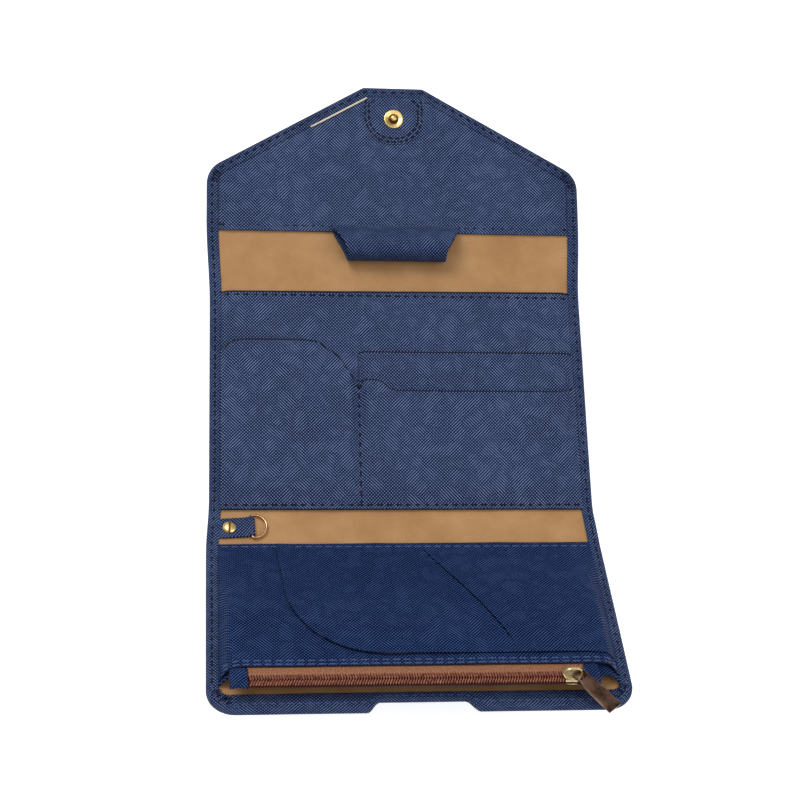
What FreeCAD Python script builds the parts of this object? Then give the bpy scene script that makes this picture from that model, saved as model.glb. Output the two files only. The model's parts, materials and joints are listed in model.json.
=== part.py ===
"""Tri-fold passport holder: back panel, two creased spines, zipped front panel and snap flap.

The back panel lies flat on its outer face.  X runs along the creases, +Y points to the flap and
+Z points away from the outer face, so the pockets are on top.  Every panel is drawn flat in its
own frame, with Z = 0 on the outer face and Y = 0 on its crease, and is then tilted to its place.
"""
import FreeCAD, Part
import math
import os
import re
import Sketcher

# Driving dimensions in millimetres and degrees.
SIZES = {
    # cover
    "wallet_width": 160, "hem_width": 5, "hem_bottom": 8, "hem_thick": 0.7, "edge_wall": 1.1,
    "cover_thick": 1.0, "board_thick": 0.8, "lining_thick": 0.6, "corner_round": 11,
    # creases and panel lengths
    "lower_crease": 48, "spine_low": 16.6, "front_length": 83,
    "upper_crease": 51, "spine_high": 23, "flap_length": 66.4, "flap_side": 28, "flap_angle": 29.8,
    "crease_gap": 0.25, "lip_mitre": 0.95, "low_tilt": 15, "high_tilt": 4,
    # pocket panels of the back
    "panel_half": 74.5, "sheet_thick": 0.5, "card_gap": 0.5, "seam_width": 2, "ramp_run": 8,
    "back_top": 47.5, "slot_rear_top": 20, "slot_front_top": 2.3, "divider_place": 17.5,
    "id_top": 24.5, "shoulder_top": 7.3,
    # zipped pocket of the front
    "mouth_rise": 5.8, "wall_end": 80.2, "zip_edge": 69, "zip_run": 50, "slip_left": 50,
    "slip_end": 62, "slip_round": 41.2, "slip_gap": 0.5, "slit_width": 0.9, "side_seam": 1.5,
    "slit_start": 8, "slit_start_down": 4.2, "slit_finish": 36.4, "slit_finish_down": 55.7,
    "tape_gap": 1.3, "tape_thick": 0.4, "coil_tall": 1.7, "coil_wide": 2.2, "coil_start": 72.6,
    "chain_gap": 0.8, "zip_half": 64, "tab_long": 6,
    "notch_wide": 42, "notch_narrow": 32, "notch_deep": 5,
    # slider and pull
    "slider_place": 55.3, "slider_long": 7.4, "slider_wide": 5.4, "plate_thick": 0.6, "play": 0.3,
    "bridge_inner": 5.4, "bridge_leg": 0.7, "bridge_tall": 1.9, "bridge_half": 0.3,
    "pull_yaw": 51, "pull_droop": 8, "pull_long": 20, "pull_wide": 6, "pull_thick": 0.7,
    "eye_shift": 1.4, "eye_half": 2.0, "eye_rim": 0.6, "eye_long": 3.9, "recess_half": 1.5,
    "recess_deep": 0.2,
    # ring tab and ring
    "tab_wide": 8.8, "ring_tab_start": 74.5, "ring_tab_end": 62, "tab_thick": 1.2, "tab_lean": 3,
    "tab_middle": 8.8, "wire_radius": 0.55, "eye_play": 0.07, "eye_wall": 0.55, "ring_bend": 0.8,
    "post_radius": 1.5, "screw_radius": 1.0, "head_radius": 2.7, "screw_place": 71,
    # snap
    "snap_from_tip": 14.6, "stud_dish": 4.2, "stud_post": 1.6, "cap_radius": 6, "socket_radius": 5.5,
    "socket_hole": 2.1, "socket_tall": 1.5, "patch_half": 14, "patch_deep": 22, "rivet_radius": 1.5,
    "socket_rivet": 1.8, "socket_foot": 3.5, "rivet_play": 0.05, "foot_play": 0.1,
    # pen loop
    "loop_bore": 4.25, "loop_wall": 0.8, "loop_wide": 42, "loop_middle": 15.4,
}

doc = FreeCAD.newDocument("PassportHolder")
sheet = doc.addObject("Spreadsheet::Sheet", "sheet")
for row, (alias, number) in enumerate(SIZES.items(), start=1):
    sheet.set(f"A{row}", alias)
    sheet.set(f"B{row}", str(number))
    sheet.setAlias(f"B{row}", alias)
doc.recompute()

# Heights that several pieces share, as expressions over the sheet's names.
HALF = "wallet_width / 2"
LINING_TOP = "(cover_thick + board_thick + lining_thick)"
BOARD_TOP = "(cover_thick + board_thick)"
WALL_LOW = f"({LINING_TOP} + mouth_rise)"
WALL_TOP = f"({WALL_LOW} + sheet_thick)"
TAPE_LOW = f"({WALL_TOP} + tape_gap)"
COIL_LOW = f"({TAPE_LOW} + tape_thick)"
COIL_TOP = f"({COIL_LOW} + coil_tall)"
FRONT_LOW = f"({COIL_LOW} + sheet_thick)"
FRONT_TOP = f"({FRONT_LOW} + sheet_thick)"
PLATE_LOW = f"({COIL_TOP} + play)"
BRIDGE_LOW = f"({PLATE_LOW} + plate_thick)"
CHAIN_MIDDLE = "(coil_start + coil_wide + chain_gap / 2)"
LOWER_ROW = "(coil_start + coil_wide + chain_gap)"
EYE_RADIUS = "(wire_radius + eye_play)"
EYE_MIDDLE = f"({LINING_TOP} + 0.02 + eye_wall + {EYE_RADIUS})"
TAB_LONG = "(ring_tab_start - ring_tab_end)"
SNAP_REACH = "(flap_length - snap_from_tip)"
PATCH_LOW = f"({LINING_TOP} + hem_thick)"
PATCH_TOP = f"({PATCH_LOW} + sheet_thick)"
LAYER_INSET = "(edge_wall + 0.1)"

# The card panel's free edge, as heights above the back's middle line: the ID pocket falls to the
# shoulder at the divider, and the card slot starts right of it.
ID_FALL = ((16, "id_top"), (10, "22.5"), (4.5, "15.5"), (0, "shoulder_top"))
SLOT_START = ((-8.5, "shoulder_top"), (-4, "slot_front_top"), (72.9, "slot_front_top"))

WORD = re.compile(r"[a-z]+(?:_[a-z]+)+|play")
pieces = []


def formula(text):
    """The expression with each sheet name written the way an object's property needs it."""
    return WORD.sub(lambda word: "sheet." + word.group(0), str(text))


def value(text):
    """The expression's number."""
    answer = sheet.evalExpression(str(text))
    return float(getattr(answer, "Value", answer))


def bind(item, **properties):
    """Bind properties of an object to expressions over the sheet."""
    for name, text in properties.items():
        item.setExpression(name, formula(text))


def bind_place(item, x="0", y="0", z="0"):
    """Bind an object's position to expressions over the sheet."""
    for axis, text in zip("xyz", (x, y, z)):
        item.setExpression(f"Placement.Base.{axis}", formula(text))


def frames():
    """Each moving panel's frame at rest, from its creases."""
    lift = FreeCAD.Vector(0, 0, value(LINING_TOP))

    def hinge(reach, angle):
        turn = FreeCAD.Rotation(FreeCAD.Vector(1, 0, 0), angle)
        out = FreeCAD.Placement(FreeCAD.Vector(0, reach, 0) + lift, turn)
        return out.multiply(FreeCAD.Placement(-lift, FreeCAD.Rotation()))

    low = value("low_tilt")
    high = value("high_tilt")
    lower_spine = hinge(-value("lower_crease"), -low)
    front = lower_spine.multiply(hinge(-value("spine_low"), -low))
    upper_spine = hinge(value("upper_crease"), high)
    flap = upper_spine.multiply(hinge(value("spine_high"), high))
    return FreeCAD.Placement(), lower_spine, front, upper_spine, flap


BACK, LOWER_SPINE, FRONT, UPPER_SPINE, FLAP = frames()


def keep(item, label, frame, local=None):
    """Name a finished sub-part and set its place in the assembly."""
    item.Label = label
    item.Placement = frame.multiply(local) if local else frame
    pieces.append(item)
    return item


# ---- PartDesign helpers ----------------------------------------------------------------------

def new_body(name):
    return doc.addObject("PartDesign::Body", "body_" + name)


def sketch(body, plane, corners, level="0"):
    """A closed outline on one of the body's own planes, each corner bound to the sheet."""
    drawing = body.newObject("Sketcher::SketchObject", "sketch")
    origin_plane = [part for part in body.Origin.OriginFeatures if part.Role == plane + "_Plane"][0]
    drawing.AttachmentSupport = [(origin_plane, "")]
    drawing.MapMode = "FlatFace"
    drawing.setExpression("AttachmentOffset.Base.z", formula(level))
    points = [FreeCAD.Vector(value(x), value(y), 0) for x, y in corners]
    for here, there in zip(points, points[1:] + points[:1]):
        drawing.addGeometry(Part.LineSegment(here, there))
    for index in range(len(points)):
        following = (index + 1) % len(points)
        drawing.addConstraint(Sketcher.Constraint("Coincident", index, 2, following, 1))
    for index, corner in enumerate(corners):
        for axis, text in zip("XY", corner):
            number = points[index].x if axis == "X" else points[index].y
            rule = Sketcher.Constraint("Distance" + axis, -1, 1, index, 1, number)
            drawing.setExpression(f"Constraints[{drawing.addConstraint(rule)}]", formula(text))
    return drawing


def pad(body, plane, corners, length, level="0", middle=False):
    feature = body.newObject("PartDesign::Pad", "pad")
    feature.Profile = sketch(body, plane, corners, level)
    feature.Midplane = middle
    bind(feature, Length=length)
    doc.recompute()
    return feature


def pocket(body, plane, corners, length, level="0", middle=False):
    """Cut an outline away; the cut runs the way a pad on the same plane would."""
    before = body.Shape.Volume
    feature = body.newObject("PartDesign::Pocket", "pocket")
    feature.Profile = sketch(body, plane, corners, level)
    feature.Midplane = middle
    feature.Reversed = not middle
    bind(feature, Length=length)
    doc.recompute()
    if not body.Shape.Volume < before:
        raise RuntimeError(f"{body.Name}: a pocket cut nothing")
    return feature


def round_corners(body, radius, places):
    """Fillet the upright edges that stand at the given X, Y places."""
    doc.recompute()
    wanted = [FreeCAD.Vector(value(x), value(y), 0) for x, y in places]
    names = []
    for number, edge in enumerate(body.Shape.Edges, start=1):
        ends = [vertex.Point for vertex in edge.Vertexes]
        if len(ends) != 2 or abs(ends[0].z - ends[1].z) < 0.01:
            continue
        foot = FreeCAD.Vector(ends[0].x, ends[0].y, 0)
        upright = math.hypot(ends[0].x - ends[1].x, ends[0].y - ends[1].y) < 0.01
        if upright and min(foot.distanceToPoint(place) for place in wanted) < 0.01:
            names.append(f"Edge{number}")
    base = body.Tip
    feature = body.newObject("PartDesign::Fillet", "fillet")
    feature.Base = (base, names)
    bind(feature, Radius=radius)
    doc.recompute()
    return feature


def rectangle(left, right, low, high):
    return [(left, low), (right, low), (right, high), (left, high)]


def revolve(body, corners):
    """Turn an XZ outline once round the body's Z axis."""
    feature = body.newObject("PartDesign::Revolution", "turn")
    feature.Profile = sketch(body, "XZ", corners)
    axis = [part for part in body.Origin.OriginFeatures if part.Role == "Z_Axis"][0]
    feature.ReferenceAxis = (axis, [""])
    feature.Angle = 360
    doc.recompute()
    return feature


# ---- Cover, boards and linings ---------------------------------------------------------------

def strip_cover(name, frame, start, end):
    """Outer cover between two creases: sheet, edge walls and the hem turned in at each side."""
    body = new_body(name)
    inner = f"({HALF} - edge_wall)"
    window = f"({HALF} - hem_width)"
    length = f"({end}) - ({start}) - 2 * crease_gap"
    channel = [
        (f"-{HALF}", "0"), (HALF, "0"), (HALF, LINING_TOP), (inner, LINING_TOP),
        (inner, "cover_thick"), (f"-{inner}", "cover_thick"), (f"-{inner}", LINING_TOP),
        (f"-{HALF}", LINING_TOP),
    ]
    pad(body, "XZ", channel, length, f"-(({end}) - crease_gap)")
    lip_top = f"{LINING_TOP} + hem_thick"
    lip_length = f"({end}) - ({start}) - 2 * lip_mitre"
    for left, right in ((f"-{HALF}", f"-{window}"), (window, HALF)):
        lip = rectangle(left, right, LINING_TOP, lip_top)
        pad(body, "XZ", lip, lip_length, f"-(({end}) - lip_mitre)")
    return keep(body, name, frame)


def strip_layer(name, frame, start, end, low, high, trim="crease_gap", hole=None):
    """Flat layer between two creases, inside the cover's edge walls."""
    reach = f"({HALF} - edge_wall - 0.1)"
    outline = rectangle(f"-{reach}", reach, f"({start}) + {trim}", f"({end}) - {trim}")
    layer = rounded_prism(name, outline, low, high)
    if hole:
        less(name, layer, [hole], frame)
    else:
        keep(layer, name, frame)


def rounded_prism(name, outline, low, high, rounding=()):
    """Upright prism; rounding lists (radius, corners) pairs."""
    body = new_body(name)
    pad(body, "XY", outline, f"({high}) - ({low})", low)
    for radius, corners in rounding:
        round_corners(body, radius, corners)
    return body


def hole_tool(frame, radius):
    """Round bar that makes a hole through every layer at a fastener's place."""
    tool = doc.addObject("Part::Cylinder", "hole_tool")
    bind(tool, Radius=radius, Height="10")
    tool.Placement = frame.multiply(FreeCAD.Placement(FreeCAD.Vector(0, 0, -3), FreeCAD.Rotation()))
    return tool


def less(label, base, tools, frame):
    """The base with the tools cut away, as a finished sub-part."""
    removed = tools[0]
    if len(tools) > 1:
        removed = doc.addObject("Part::MultiFuse", label + "_removed")
        removed.Shapes = tools
    cut = doc.addObject("Part::Cut", label)
    cut.Base = base
    cut.Tool = removed
    doc.recompute()
    return keep(cut, label, frame)


def hollow_cover(label, frame, outline, window, mitre, rounding, tools):
    """Cover with its edges turned over the lining: a rounded prism less its inside and window."""
    top = f"({LINING_TOP} + hem_thick)"
    prism = rounded_prism(label + "_prism", outline("0", "crease_gap"), "0", top, rounding("0"))
    inside = rounded_prism(label + "_inside", outline("edge_wall", "-1"), "cover_thick", LINING_TOP,
                           rounding("edge_wall"))
    opened = rounded_prism(label + "_window", window, "cover_thick + 0.1", f"{top} + 1")
    trimmed = rounded_prism(label + "_mitre", mitre, LINING_TOP, f"{top} + 1")
    return less(label, prism, [inside, opened, trimmed] + tools, frame)


def front_outline(inset, top="crease_gap"):
    side = f"({HALF} - {inset})"
    return rectangle(f"-{side}", side, f"-(front_length - {inset})", f"-{top}")


def front_rounding(inset):
    reach = f"({HALF} - {inset})"
    low = f"-(front_length - {inset})"
    return [(f"corner_round - {inset}", [(f"-{reach}", low), (reach, low)])]


def notch_tool(name):
    """Thumb notch through every layer at the front's free edge."""
    over = "-(front_length + 1)"
    spread = "(notch_wide / 2 + (notch_wide - notch_narrow) / 2 / notch_deep)"
    deep = "-(front_length - notch_deep)"
    outline = [
        (f"-{spread}", over), (spread, over), ("notch_narrow / 2", deep), ("-notch_narrow / 2", deep),
    ]
    return rounded_prism(name, outline, "-1", f"{LINING_TOP} + 3")


def cover_front():
    side = f"({HALF} - hem_width)"
    window = rectangle(f"-{side}", side, "-(front_length - hem_bottom)", "1")
    mitre = rectangle(f"-({HALF} + 1)", f"{HALF} + 1", "-lip_mitre", "1")
    tools = [notch_tool("cover_notch"), hole_tool(socket_frame(), "socket_rivet + rivet_play")]
    hollow_cover("cover_front", FRONT, front_outline, window, mitre, front_rounding, tools)


def front_layer(label, low, high, holes):
    layer = rounded_prism(label + "_sheet", front_outline(LAYER_INSET), low, high,
                          front_rounding(LAYER_INSET))
    less(label, layer, [notch_tool(label + "_notch")] + holes, FRONT)


def flap_outline(inset, bottom):
    """The flap's pentagon, moved inwards by the inset."""
    lean = "(1 - sin(flap_angle * 1deg)) / cos(flap_angle * 1deg)"
    tip_lean = "(1 - cos(flap_angle * 1deg)) / sin(flap_angle * 1deg)"
    side = f"({HALF} - {inset})"
    shoulder = f"(flap_side - {inset} * {lean})"
    rise = "(flap_length - flap_side)"
    tip_half = f"({HALF} - {rise} / tan(flap_angle * 1deg) - {inset} * {tip_lean})"
    tip = f"(flap_length - {inset})"
    return [
        (f"-{side}", bottom), (side, bottom), (side, shoulder), (tip_half, tip),
        (f"-{tip_half}", tip), (f"-{side}", shoulder),
    ]


def flap_rounding(inset):
    corners = flap_outline(inset, "0")
    return [(f"corner_round - {inset}", [corners[2], corners[5]]), ("2.5", [corners[3], corners[4]])]


def cover_flap():
    mitre = rectangle(f"-({HALF} + 1)", f"{HALF} + 1", "-1", "lip_mitre")
    window = flap_outline("hem_width", "-1")
    tools = [snap_hole()]
    hollow_cover("cover_flap", FLAP, flap_outline, window, mitre, flap_rounding, tools)


def flap_board():
    outline = flap_outline(LAYER_INSET, "(crease_gap + 1)")
    layer = rounded_prism("flap_board_sheet", outline, "cover_thick", BOARD_TOP,
                          flap_rounding(LAYER_INSET))
    less("flap_board", layer, [snap_hole()], FLAP)


def flap_panel():
    """Inner panel of the flap, level with the turned hem and tucked under it."""
    body = rounded_prism("flap_panel_sheet", flap_outline(LAYER_INSET, "1.2"), BOARD_TOP, LINING_TOP,
                         flap_rounding(LAYER_INSET))
    pad(body, "XY", flap_outline("(hem_width + 0.1)", "1.2"), "hem_thick", LINING_TOP)
    less("flap_panel", body, [snap_hole()], FLAP)


# ---- Pocket panels of the back ---------------------------------------------------------------

def layer_rise(layer):
    """Heights of a stacked panel's underside at its sewn edge and on its flat part."""
    seam = f"({LINING_TOP} + {layer} * sheet_thick)"
    flat = f"({LINING_TOP} + {layer} * (sheet_thick + card_gap) + card_gap)"
    return seam, flat


def card_panel(name, layer, left, right, top, seams, cut=None):
    """A sheet sewn to the layer below along its lower edge and its seams, open at its top edge."""
    body = new_body(name)
    low = "-back_top"
    turn = f"({low} + seam_width)"
    crest = f"({low} + seam_width + ramp_run)"
    seam_low, flat_low = layer_rise(layer)
    seam_top = f"({seam_low} + sheet_thick)"
    flat_top = f"({flat_low} + sheet_thick)"
    profile = [
        (low, seam_low), (turn, seam_low), (crest, flat_low), (top, flat_low),
        (top, flat_top), (crest, flat_top), (turn, seam_top), (low, seam_top),
    ]
    pad(body, "YZ", profile, f"({right}) - ({left})", left)
    rib = [
        (turn, seam_low), (crest, f"({flat_low} - card_gap)"), (top, f"({flat_low} - card_gap)"),
        (top, f"({flat_low} + sheet_thick / 2)"), (crest, f"({flat_low} + sheet_thick / 2)"),
        (turn, f"({seam_low} + sheet_thick / 2)"),
    ]
    for seam_left, seam_wide in seams:
        pad(body, "YZ", rib, seam_wide, seam_left)
    if cut:
        cut(body)
    return keep(body, name, BACK)


def cut_front_edge(body):
    """Shape the front card panel's free edge: raised ID pocket at the left, card slot at the right."""
    over = "(id_top + 1)"
    outside = "(panel_half + 1)"
    outline = [("-divider_place", over)]
    outline += [(f"-(divider_place + {left})", top) for left, top in ID_FALL]
    outline += [(str(x), top) for x, top in SLOT_START]
    outline += [(outside, "(slot_front_top + 3.7)"), (outside, over)]
    pocket(body, "XY", outline, "20", "1")
    start = "-(panel_half - 7.5)"
    corner = [(f"-{outside}", over), (f"-{outside}", "(id_top - 4.5)"), (start, "id_top"), (start, over)]
    pocket(body, "XY", corner, "20", "1")


# ---- Zipped pocket of the front --------------------------------------------------------------

def bulged_sheet(body, start_low, flat_low, start, run, end, thick):
    """A sheet that rises from its sewn edge beside the crease to its level at the mouth."""
    profile = [
        (f"-({start})", start_low), (f"-({start} + seam_width)", start_low),
        (f"-({run})", flat_low), (f"-({end})", flat_low), (f"-({end})", f"{flat_low} + {thick}"),
        (f"-({run})", f"{flat_low} + {thick}"),
        (f"-({start} + seam_width)", f"{start_low} + {thick}"), (f"-({start})", f"{start_low} + {thick}"),
    ]
    pad(body, "YZ", profile, "2 * panel_half", middle=True)


def side_gusset(body, start_low, flat_low, base_start, base_flat, run, end):
    """The sewn side seams that hold a bulged sheet's edges."""
    outline = [
        ("-(0.5 + seam_width)", base_start), (f"-({run})", base_flat), (f"-({end})", base_flat),
        (f"-({end})", f"{flat_low} + sheet_thick / 2"), (f"-({run})", f"{flat_low} + sheet_thick / 2"),
        ("-(0.5 + seam_width)", f"{start_low} + sheet_thick / 2"),
    ]
    for left in ("-panel_half", "(panel_half - side_seam)"):
        pad(body, "YZ", outline, "side_seam", left)


def zip_pocket_back():
    body = new_body("zip_pocket_back")
    bulged_sheet(body, LINING_TOP, WALL_LOW, "0.5", "zip_run", "wall_end", "sheet_thick")
    side_gusset(body, LINING_TOP, WALL_LOW, LINING_TOP, LINING_TOP, "zip_run", "(zip_edge - 4)")
    fold = rectangle("-wall_end", f"-({LOWER_ROW} + coil_wide + 0.5)", WALL_TOP, TAPE_LOW)
    pad(body, "YZ", fold, "2 * panel_half", middle=True)
    return keep(body, "zip_pocket_back", FRONT)


def zip_pocket_front():
    body = new_body("zip_pocket_front")
    start = f"({LINING_TOP} + sheet_thick)"
    bulged_sheet(body, start, FRONT_LOW, "0.5", "zip_run", "zip_edge", "sheet_thick")
    side_gusset(body, start, FRONT_LOW, start, WALL_TOP, "zip_run", "zip_edge")
    hem = rectangle("-(zip_edge)", "-(zip_edge - 5)", COIL_LOW, f"({FRONT_LOW} + sheet_thick / 2)")
    pad(body, "YZ", hem, "2 * panel_half", middle=True)
    return keep(body, "zip_pocket_front", FRONT)


def slip_panel():
    """Card panel over the zipped pocket, with a curved free edge and a diagonal slit."""
    body = new_body("slip_panel")
    start = f"({LINING_TOP} + 2 * sheet_thick)"
    level = f"({FRONT_TOP} + slip_gap)"
    profile = [
        ("-0.5", start), ("-(0.5 + seam_width)", start), ("-(zip_run)", level), ("-(slip_end)", level),
        ("-(slip_end)", f"{level} + sheet_thick"), ("-(zip_run)", f"{level} + sheet_thick"),
        ("-(0.5 + seam_width)", f"{start} + sheet_thick"), ("-0.5", f"{start} + sheet_thick"),
    ]
    pad(body, "YZ", profile, "slip_left + panel_half", "-slip_left")
    rib = [
        ("-(0.5 + seam_width)", start), ("-(zip_run)", FRONT_TOP), ("-(slip_end)", FRONT_TOP),
        ("-(slip_end)", f"{level} + sheet_thick / 2"), ("-(zip_run)", f"{level} + sheet_thick / 2"),
        ("-(0.5 + seam_width)", f"{start} + sheet_thick / 2"),
    ]
    pad(body, "YZ", rib, "side_seam", "(panel_half - side_seam)")
    arc_corner(body)
    slit = [
        ("slit_start - slit_width / 2", "-slit_start_down"),
        ("slit_start + slit_width / 2", "-slit_start_down"),
        ("slit_finish + slit_width / 2", "-slit_finish_down"),
        ("slit_finish - slit_width / 2", "-slit_finish_down"),
    ]
    pocket(body, "XY", slit, "20", "1")
    return keep(body, "slip_panel", FRONT)


def arc_corner(body):
    """Cut the slip panel's free corner to a large round."""
    before = body.Shape.Volume
    drawing = body.newObject("Sketcher::SketchObject", "sketch")
    plane = [part for part in body.Origin.OriginFeatures if part.Role == "XY_Plane"][0]
    drawing.AttachmentSupport = [(plane, "")]
    drawing.MapMode = "FlatFace"
    radius = value("slip_round")
    left = -value("slip_left")
    low = -value("slip_end")
    centre = FreeCAD.Vector(left + radius, low + radius, 0)
    margin = 1
    up = FreeCAD.Vector(0, 0, 1)
    arc = Part.ArcOfCircle(Part.Circle(centre, up, radius), math.pi, 1.5 * math.pi)
    corners = [
        FreeCAD.Vector(centre.x, low, 0), FreeCAD.Vector(centre.x, low - margin, 0),
        FreeCAD.Vector(left - margin, low - margin, 0), FreeCAD.Vector(left - margin, centre.y, 0),
        FreeCAD.Vector(left, centre.y, 0),
    ]
    drawing.addGeometry(arc)
    for here, there in zip(corners, corners[1:]):
        drawing.addGeometry(Part.LineSegment(here, there))
    for first, first_end, second, second_end in ((0, 2, 1, 1), (1, 2, 2, 1), (2, 2, 3, 1),
                                                 (3, 2, 4, 1), (4, 2, 0, 1)):
        drawing.addConstraint(Sketcher.Constraint("Coincident", first, first_end, second, second_end))
    rules = [
        ("Radius", (0, radius), "slip_round"),
        ("DistanceX", (-1, 1, 0, 3, centre.x), "slip_round - slip_left"),
        ("DistanceY", (-1, 1, 0, 3, centre.y), "slip_round - slip_end"),
        ("DistanceX", (-1, 1, 0, 2, centre.x), "slip_round - slip_left"),
        ("DistanceY", (-1, 1, 0, 1, centre.y), "slip_round - slip_end"),
        ("DistanceX", (-1, 1, 2, 1, centre.x), "slip_round - slip_left"),
        ("DistanceY", (-1, 1, 2, 1, low - margin), f"-(slip_end + {margin})"),
        ("DistanceX", (-1, 1, 3, 1, left - margin), f"-(slip_left + {margin})"),
        ("DistanceY", (-1, 1, 3, 1, low - margin), f"-(slip_end + {margin})"),
        ("DistanceX", (-1, 1, 4, 1, left - margin), f"-(slip_left + {margin})"),
        ("DistanceY", (-1, 1, 4, 1, centre.y), "slip_round - slip_end"),
    ]
    for kind, where, text in rules:
        index = drawing.addConstraint(Sketcher.Constraint(kind, *where))
        drawing.setExpression(f"Constraints[{index}]", formula(text))
    feature = body.newObject("PartDesign::Pocket", "pocket")
    feature.Profile = drawing
    feature.Reversed = True
    feature.Length = 30
    doc.recompute()
    if not body.Shape.Volume < before:
        raise RuntimeError("slip_panel: the corner was not cut")


def zip_strip(name, start, end, low, high):
    """A straight part of the zip that runs the length of the mouth."""
    body = new_body(name)
    outline = rectangle("-zip_half", "zip_half", f"-({end})", f"-({start})")
    pad(body, "XY", outline, f"({high}) - ({low})", low)
    return keep(body, name, FRONT)


def zip_coil(name, start):
    """One row of coiled teeth as a rod of rounded section on its tape."""
    body = new_body(name)
    corner = "0.4"
    near = f"-({start})"
    far = f"-({start} + coil_wide)"
    section = [
        (near, COIL_LOW), (near, f"{COIL_TOP} - {corner}"), (f"{near} - {corner}", COIL_TOP),
        (f"{far} + {corner}", COIL_TOP), (far, f"{COIL_TOP} - {corner}"), (far, COIL_LOW),
    ]
    pad(body, "YZ", section, "2 * zip_half", middle=True)
    return keep(body, name, FRONT)


def zip_parts():
    zip_strip("zip_tape_upper", "(zip_edge - 5)", "(coil_start + coil_wide)", TAPE_LOW, COIL_LOW)
    zip_strip("zip_tape_lower", LOWER_ROW, "wall_end", TAPE_LOW, COIL_LOW)
    zip_coil("zip_coil_upper", "coil_start")
    zip_coil("zip_coil_lower", LOWER_ROW)
    for name, side in (("zip_end_tab_left", -1), ("zip_end_tab_right", 1)):
        body = new_body(name)
        near = f"{side} * (zip_half + 0.1)"
        far = f"{side} * (zip_half + 0.1 + tab_long)"
        left, right = (far, near) if side < 0 else (near, far)
        outline = rectangle(left, right, f"-({LOWER_ROW} + coil_wide)", "-(zip_edge + 0.1)")
        pad(body, "XY", outline, f"{COIL_TOP} - ({TAPE_LOW})", TAPE_LOW)
        keep(body, name, FRONT)


# ---- Slider and pull -------------------------------------------------------------------------

def zip_slider():
    """Slider of two plates joined by a thin wedge that runs between the rows of teeth."""
    body = new_body("zip_slider")
    half_long = "slider_long / 2"
    near = f"-({CHAIN_MIDDLE} - slider_wide / 2)"
    far = f"-({CHAIN_MIDDLE} + slider_wide / 2)"
    left = f"slider_place - {half_long}"
    right = f"slider_place + {half_long}"
    lower_low = f"({TAPE_LOW} - play - plate_thick)"
    pad(body, "XY", rectangle(left, right, far, near), "plate_thick", PLATE_LOW)
    round_corners(body, "2.2", [(left, far), (left, near), (right, far), (right, near)])
    post_half = "(chain_gap / 2 - 0.3)"
    post = rectangle(f"{right} - 2.4", f"{right} - 0.6", f"-({CHAIN_MIDDLE} + {post_half})",
                     f"-({CHAIN_MIDDLE} - {post_half})")
    pad(body, "XY", post, f"{PLATE_LOW} + plate_thick - {lower_low}", lower_low)
    pad(body, "XY", rectangle(left, right, far, near), "plate_thick", lower_low)
    return keep(body, "zip_slider", FRONT)


def slider_bridge():
    """Arched bar on the slider that the pull hangs from."""
    body = new_body("slider_bridge")
    inner = "bridge_inner / 2"
    outer = "(bridge_inner / 2 + bridge_leg)"
    top = f"({BRIDGE_LOW} + bridge_tall)"
    arch = [
        (f"slider_place - {outer}", BRIDGE_LOW), (f"slider_place - {inner}", BRIDGE_LOW),
        (f"slider_place - {inner}", top), (f"slider_place + {inner}", top),
        (f"slider_place + {inner}", BRIDGE_LOW), (f"slider_place + {outer}", BRIDGE_LOW),
        (f"slider_place + {outer}", f"{top} + 0.3"), (f"slider_place + {inner}", f"{top} + 0.6"),
        (f"slider_place - {inner}", f"{top} + 0.6"), (f"slider_place - {outer}", f"{top} + 0.3"),
    ]
    pad(body, "XZ", arch, "2 * bridge_half", f"{CHAIN_MIDDLE} - bridge_half")
    return keep(body, "slider_bridge", FRONT)


def pull_frame():
    """The pull's own frame: X along the pull, Y along its hinge, origin on the hinge."""
    x = value("slider_place + eye_shift")
    y = -value(CHAIN_MIDDLE)
    z = value(f"{BRIDGE_LOW} + bridge_tall / 2 + 0.05")
    yaw = FreeCAD.Rotation(FreeCAD.Vector(0, 0, 1), -value("pull_yaw"))
    droop = FreeCAD.Rotation(FreeCAD.Vector(0, 1, 0), value("pull_droop"))
    return FreeCAD.Placement(FreeCAD.Vector(x, y, z), yaw.multiply(droop))


def zip_pull():
    """Flat pull: eye round the bridge, narrow neck and a plain bar."""
    body = new_body("zip_pull")
    level = "-pull_thick / 2"
    head = "(eye_half + eye_rim)"
    plate = [
        ("-0.35", f"-{head}"), ("eye_long + 0.9", f"-{head}"), ("eye_long + 1.7", "-pull_wide / 2"),
        ("pull_long", "-pull_wide / 2"), ("pull_long", "pull_wide / 2"),
        ("eye_long + 1.7", "pull_wide / 2"), ("eye_long + 0.9", head), ("-0.35", head),
    ]
    pad(body, "XY", plate, "pull_thick", level)
    pocket(body, "XY", rectangle("0.4", "eye_long", "-eye_half", "eye_half"), "4", "-2")
    recess = rectangle("eye_long + 3", "pull_long - 2", "-recess_half", "recess_half")
    pocket(body, "XY", recess, "1", "pull_thick / 2 - recess_deep")
    return keep(body, "zip_pull", FRONT, pull_frame())


# ---- Ring tab, screw and ring ----------------------------------------------------------------

def tab_frame():
    """The tab's own frame: X along the tab towards the ring, on the spine's middle line."""
    turn = FreeCAD.Rotation(FreeCAD.Vector(0, 0, 1), value("tab_lean"))
    return FreeCAD.Placement(FreeCAD.Vector(-value("ring_tab_start"), -value("tab_middle"), 0), turn)


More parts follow.
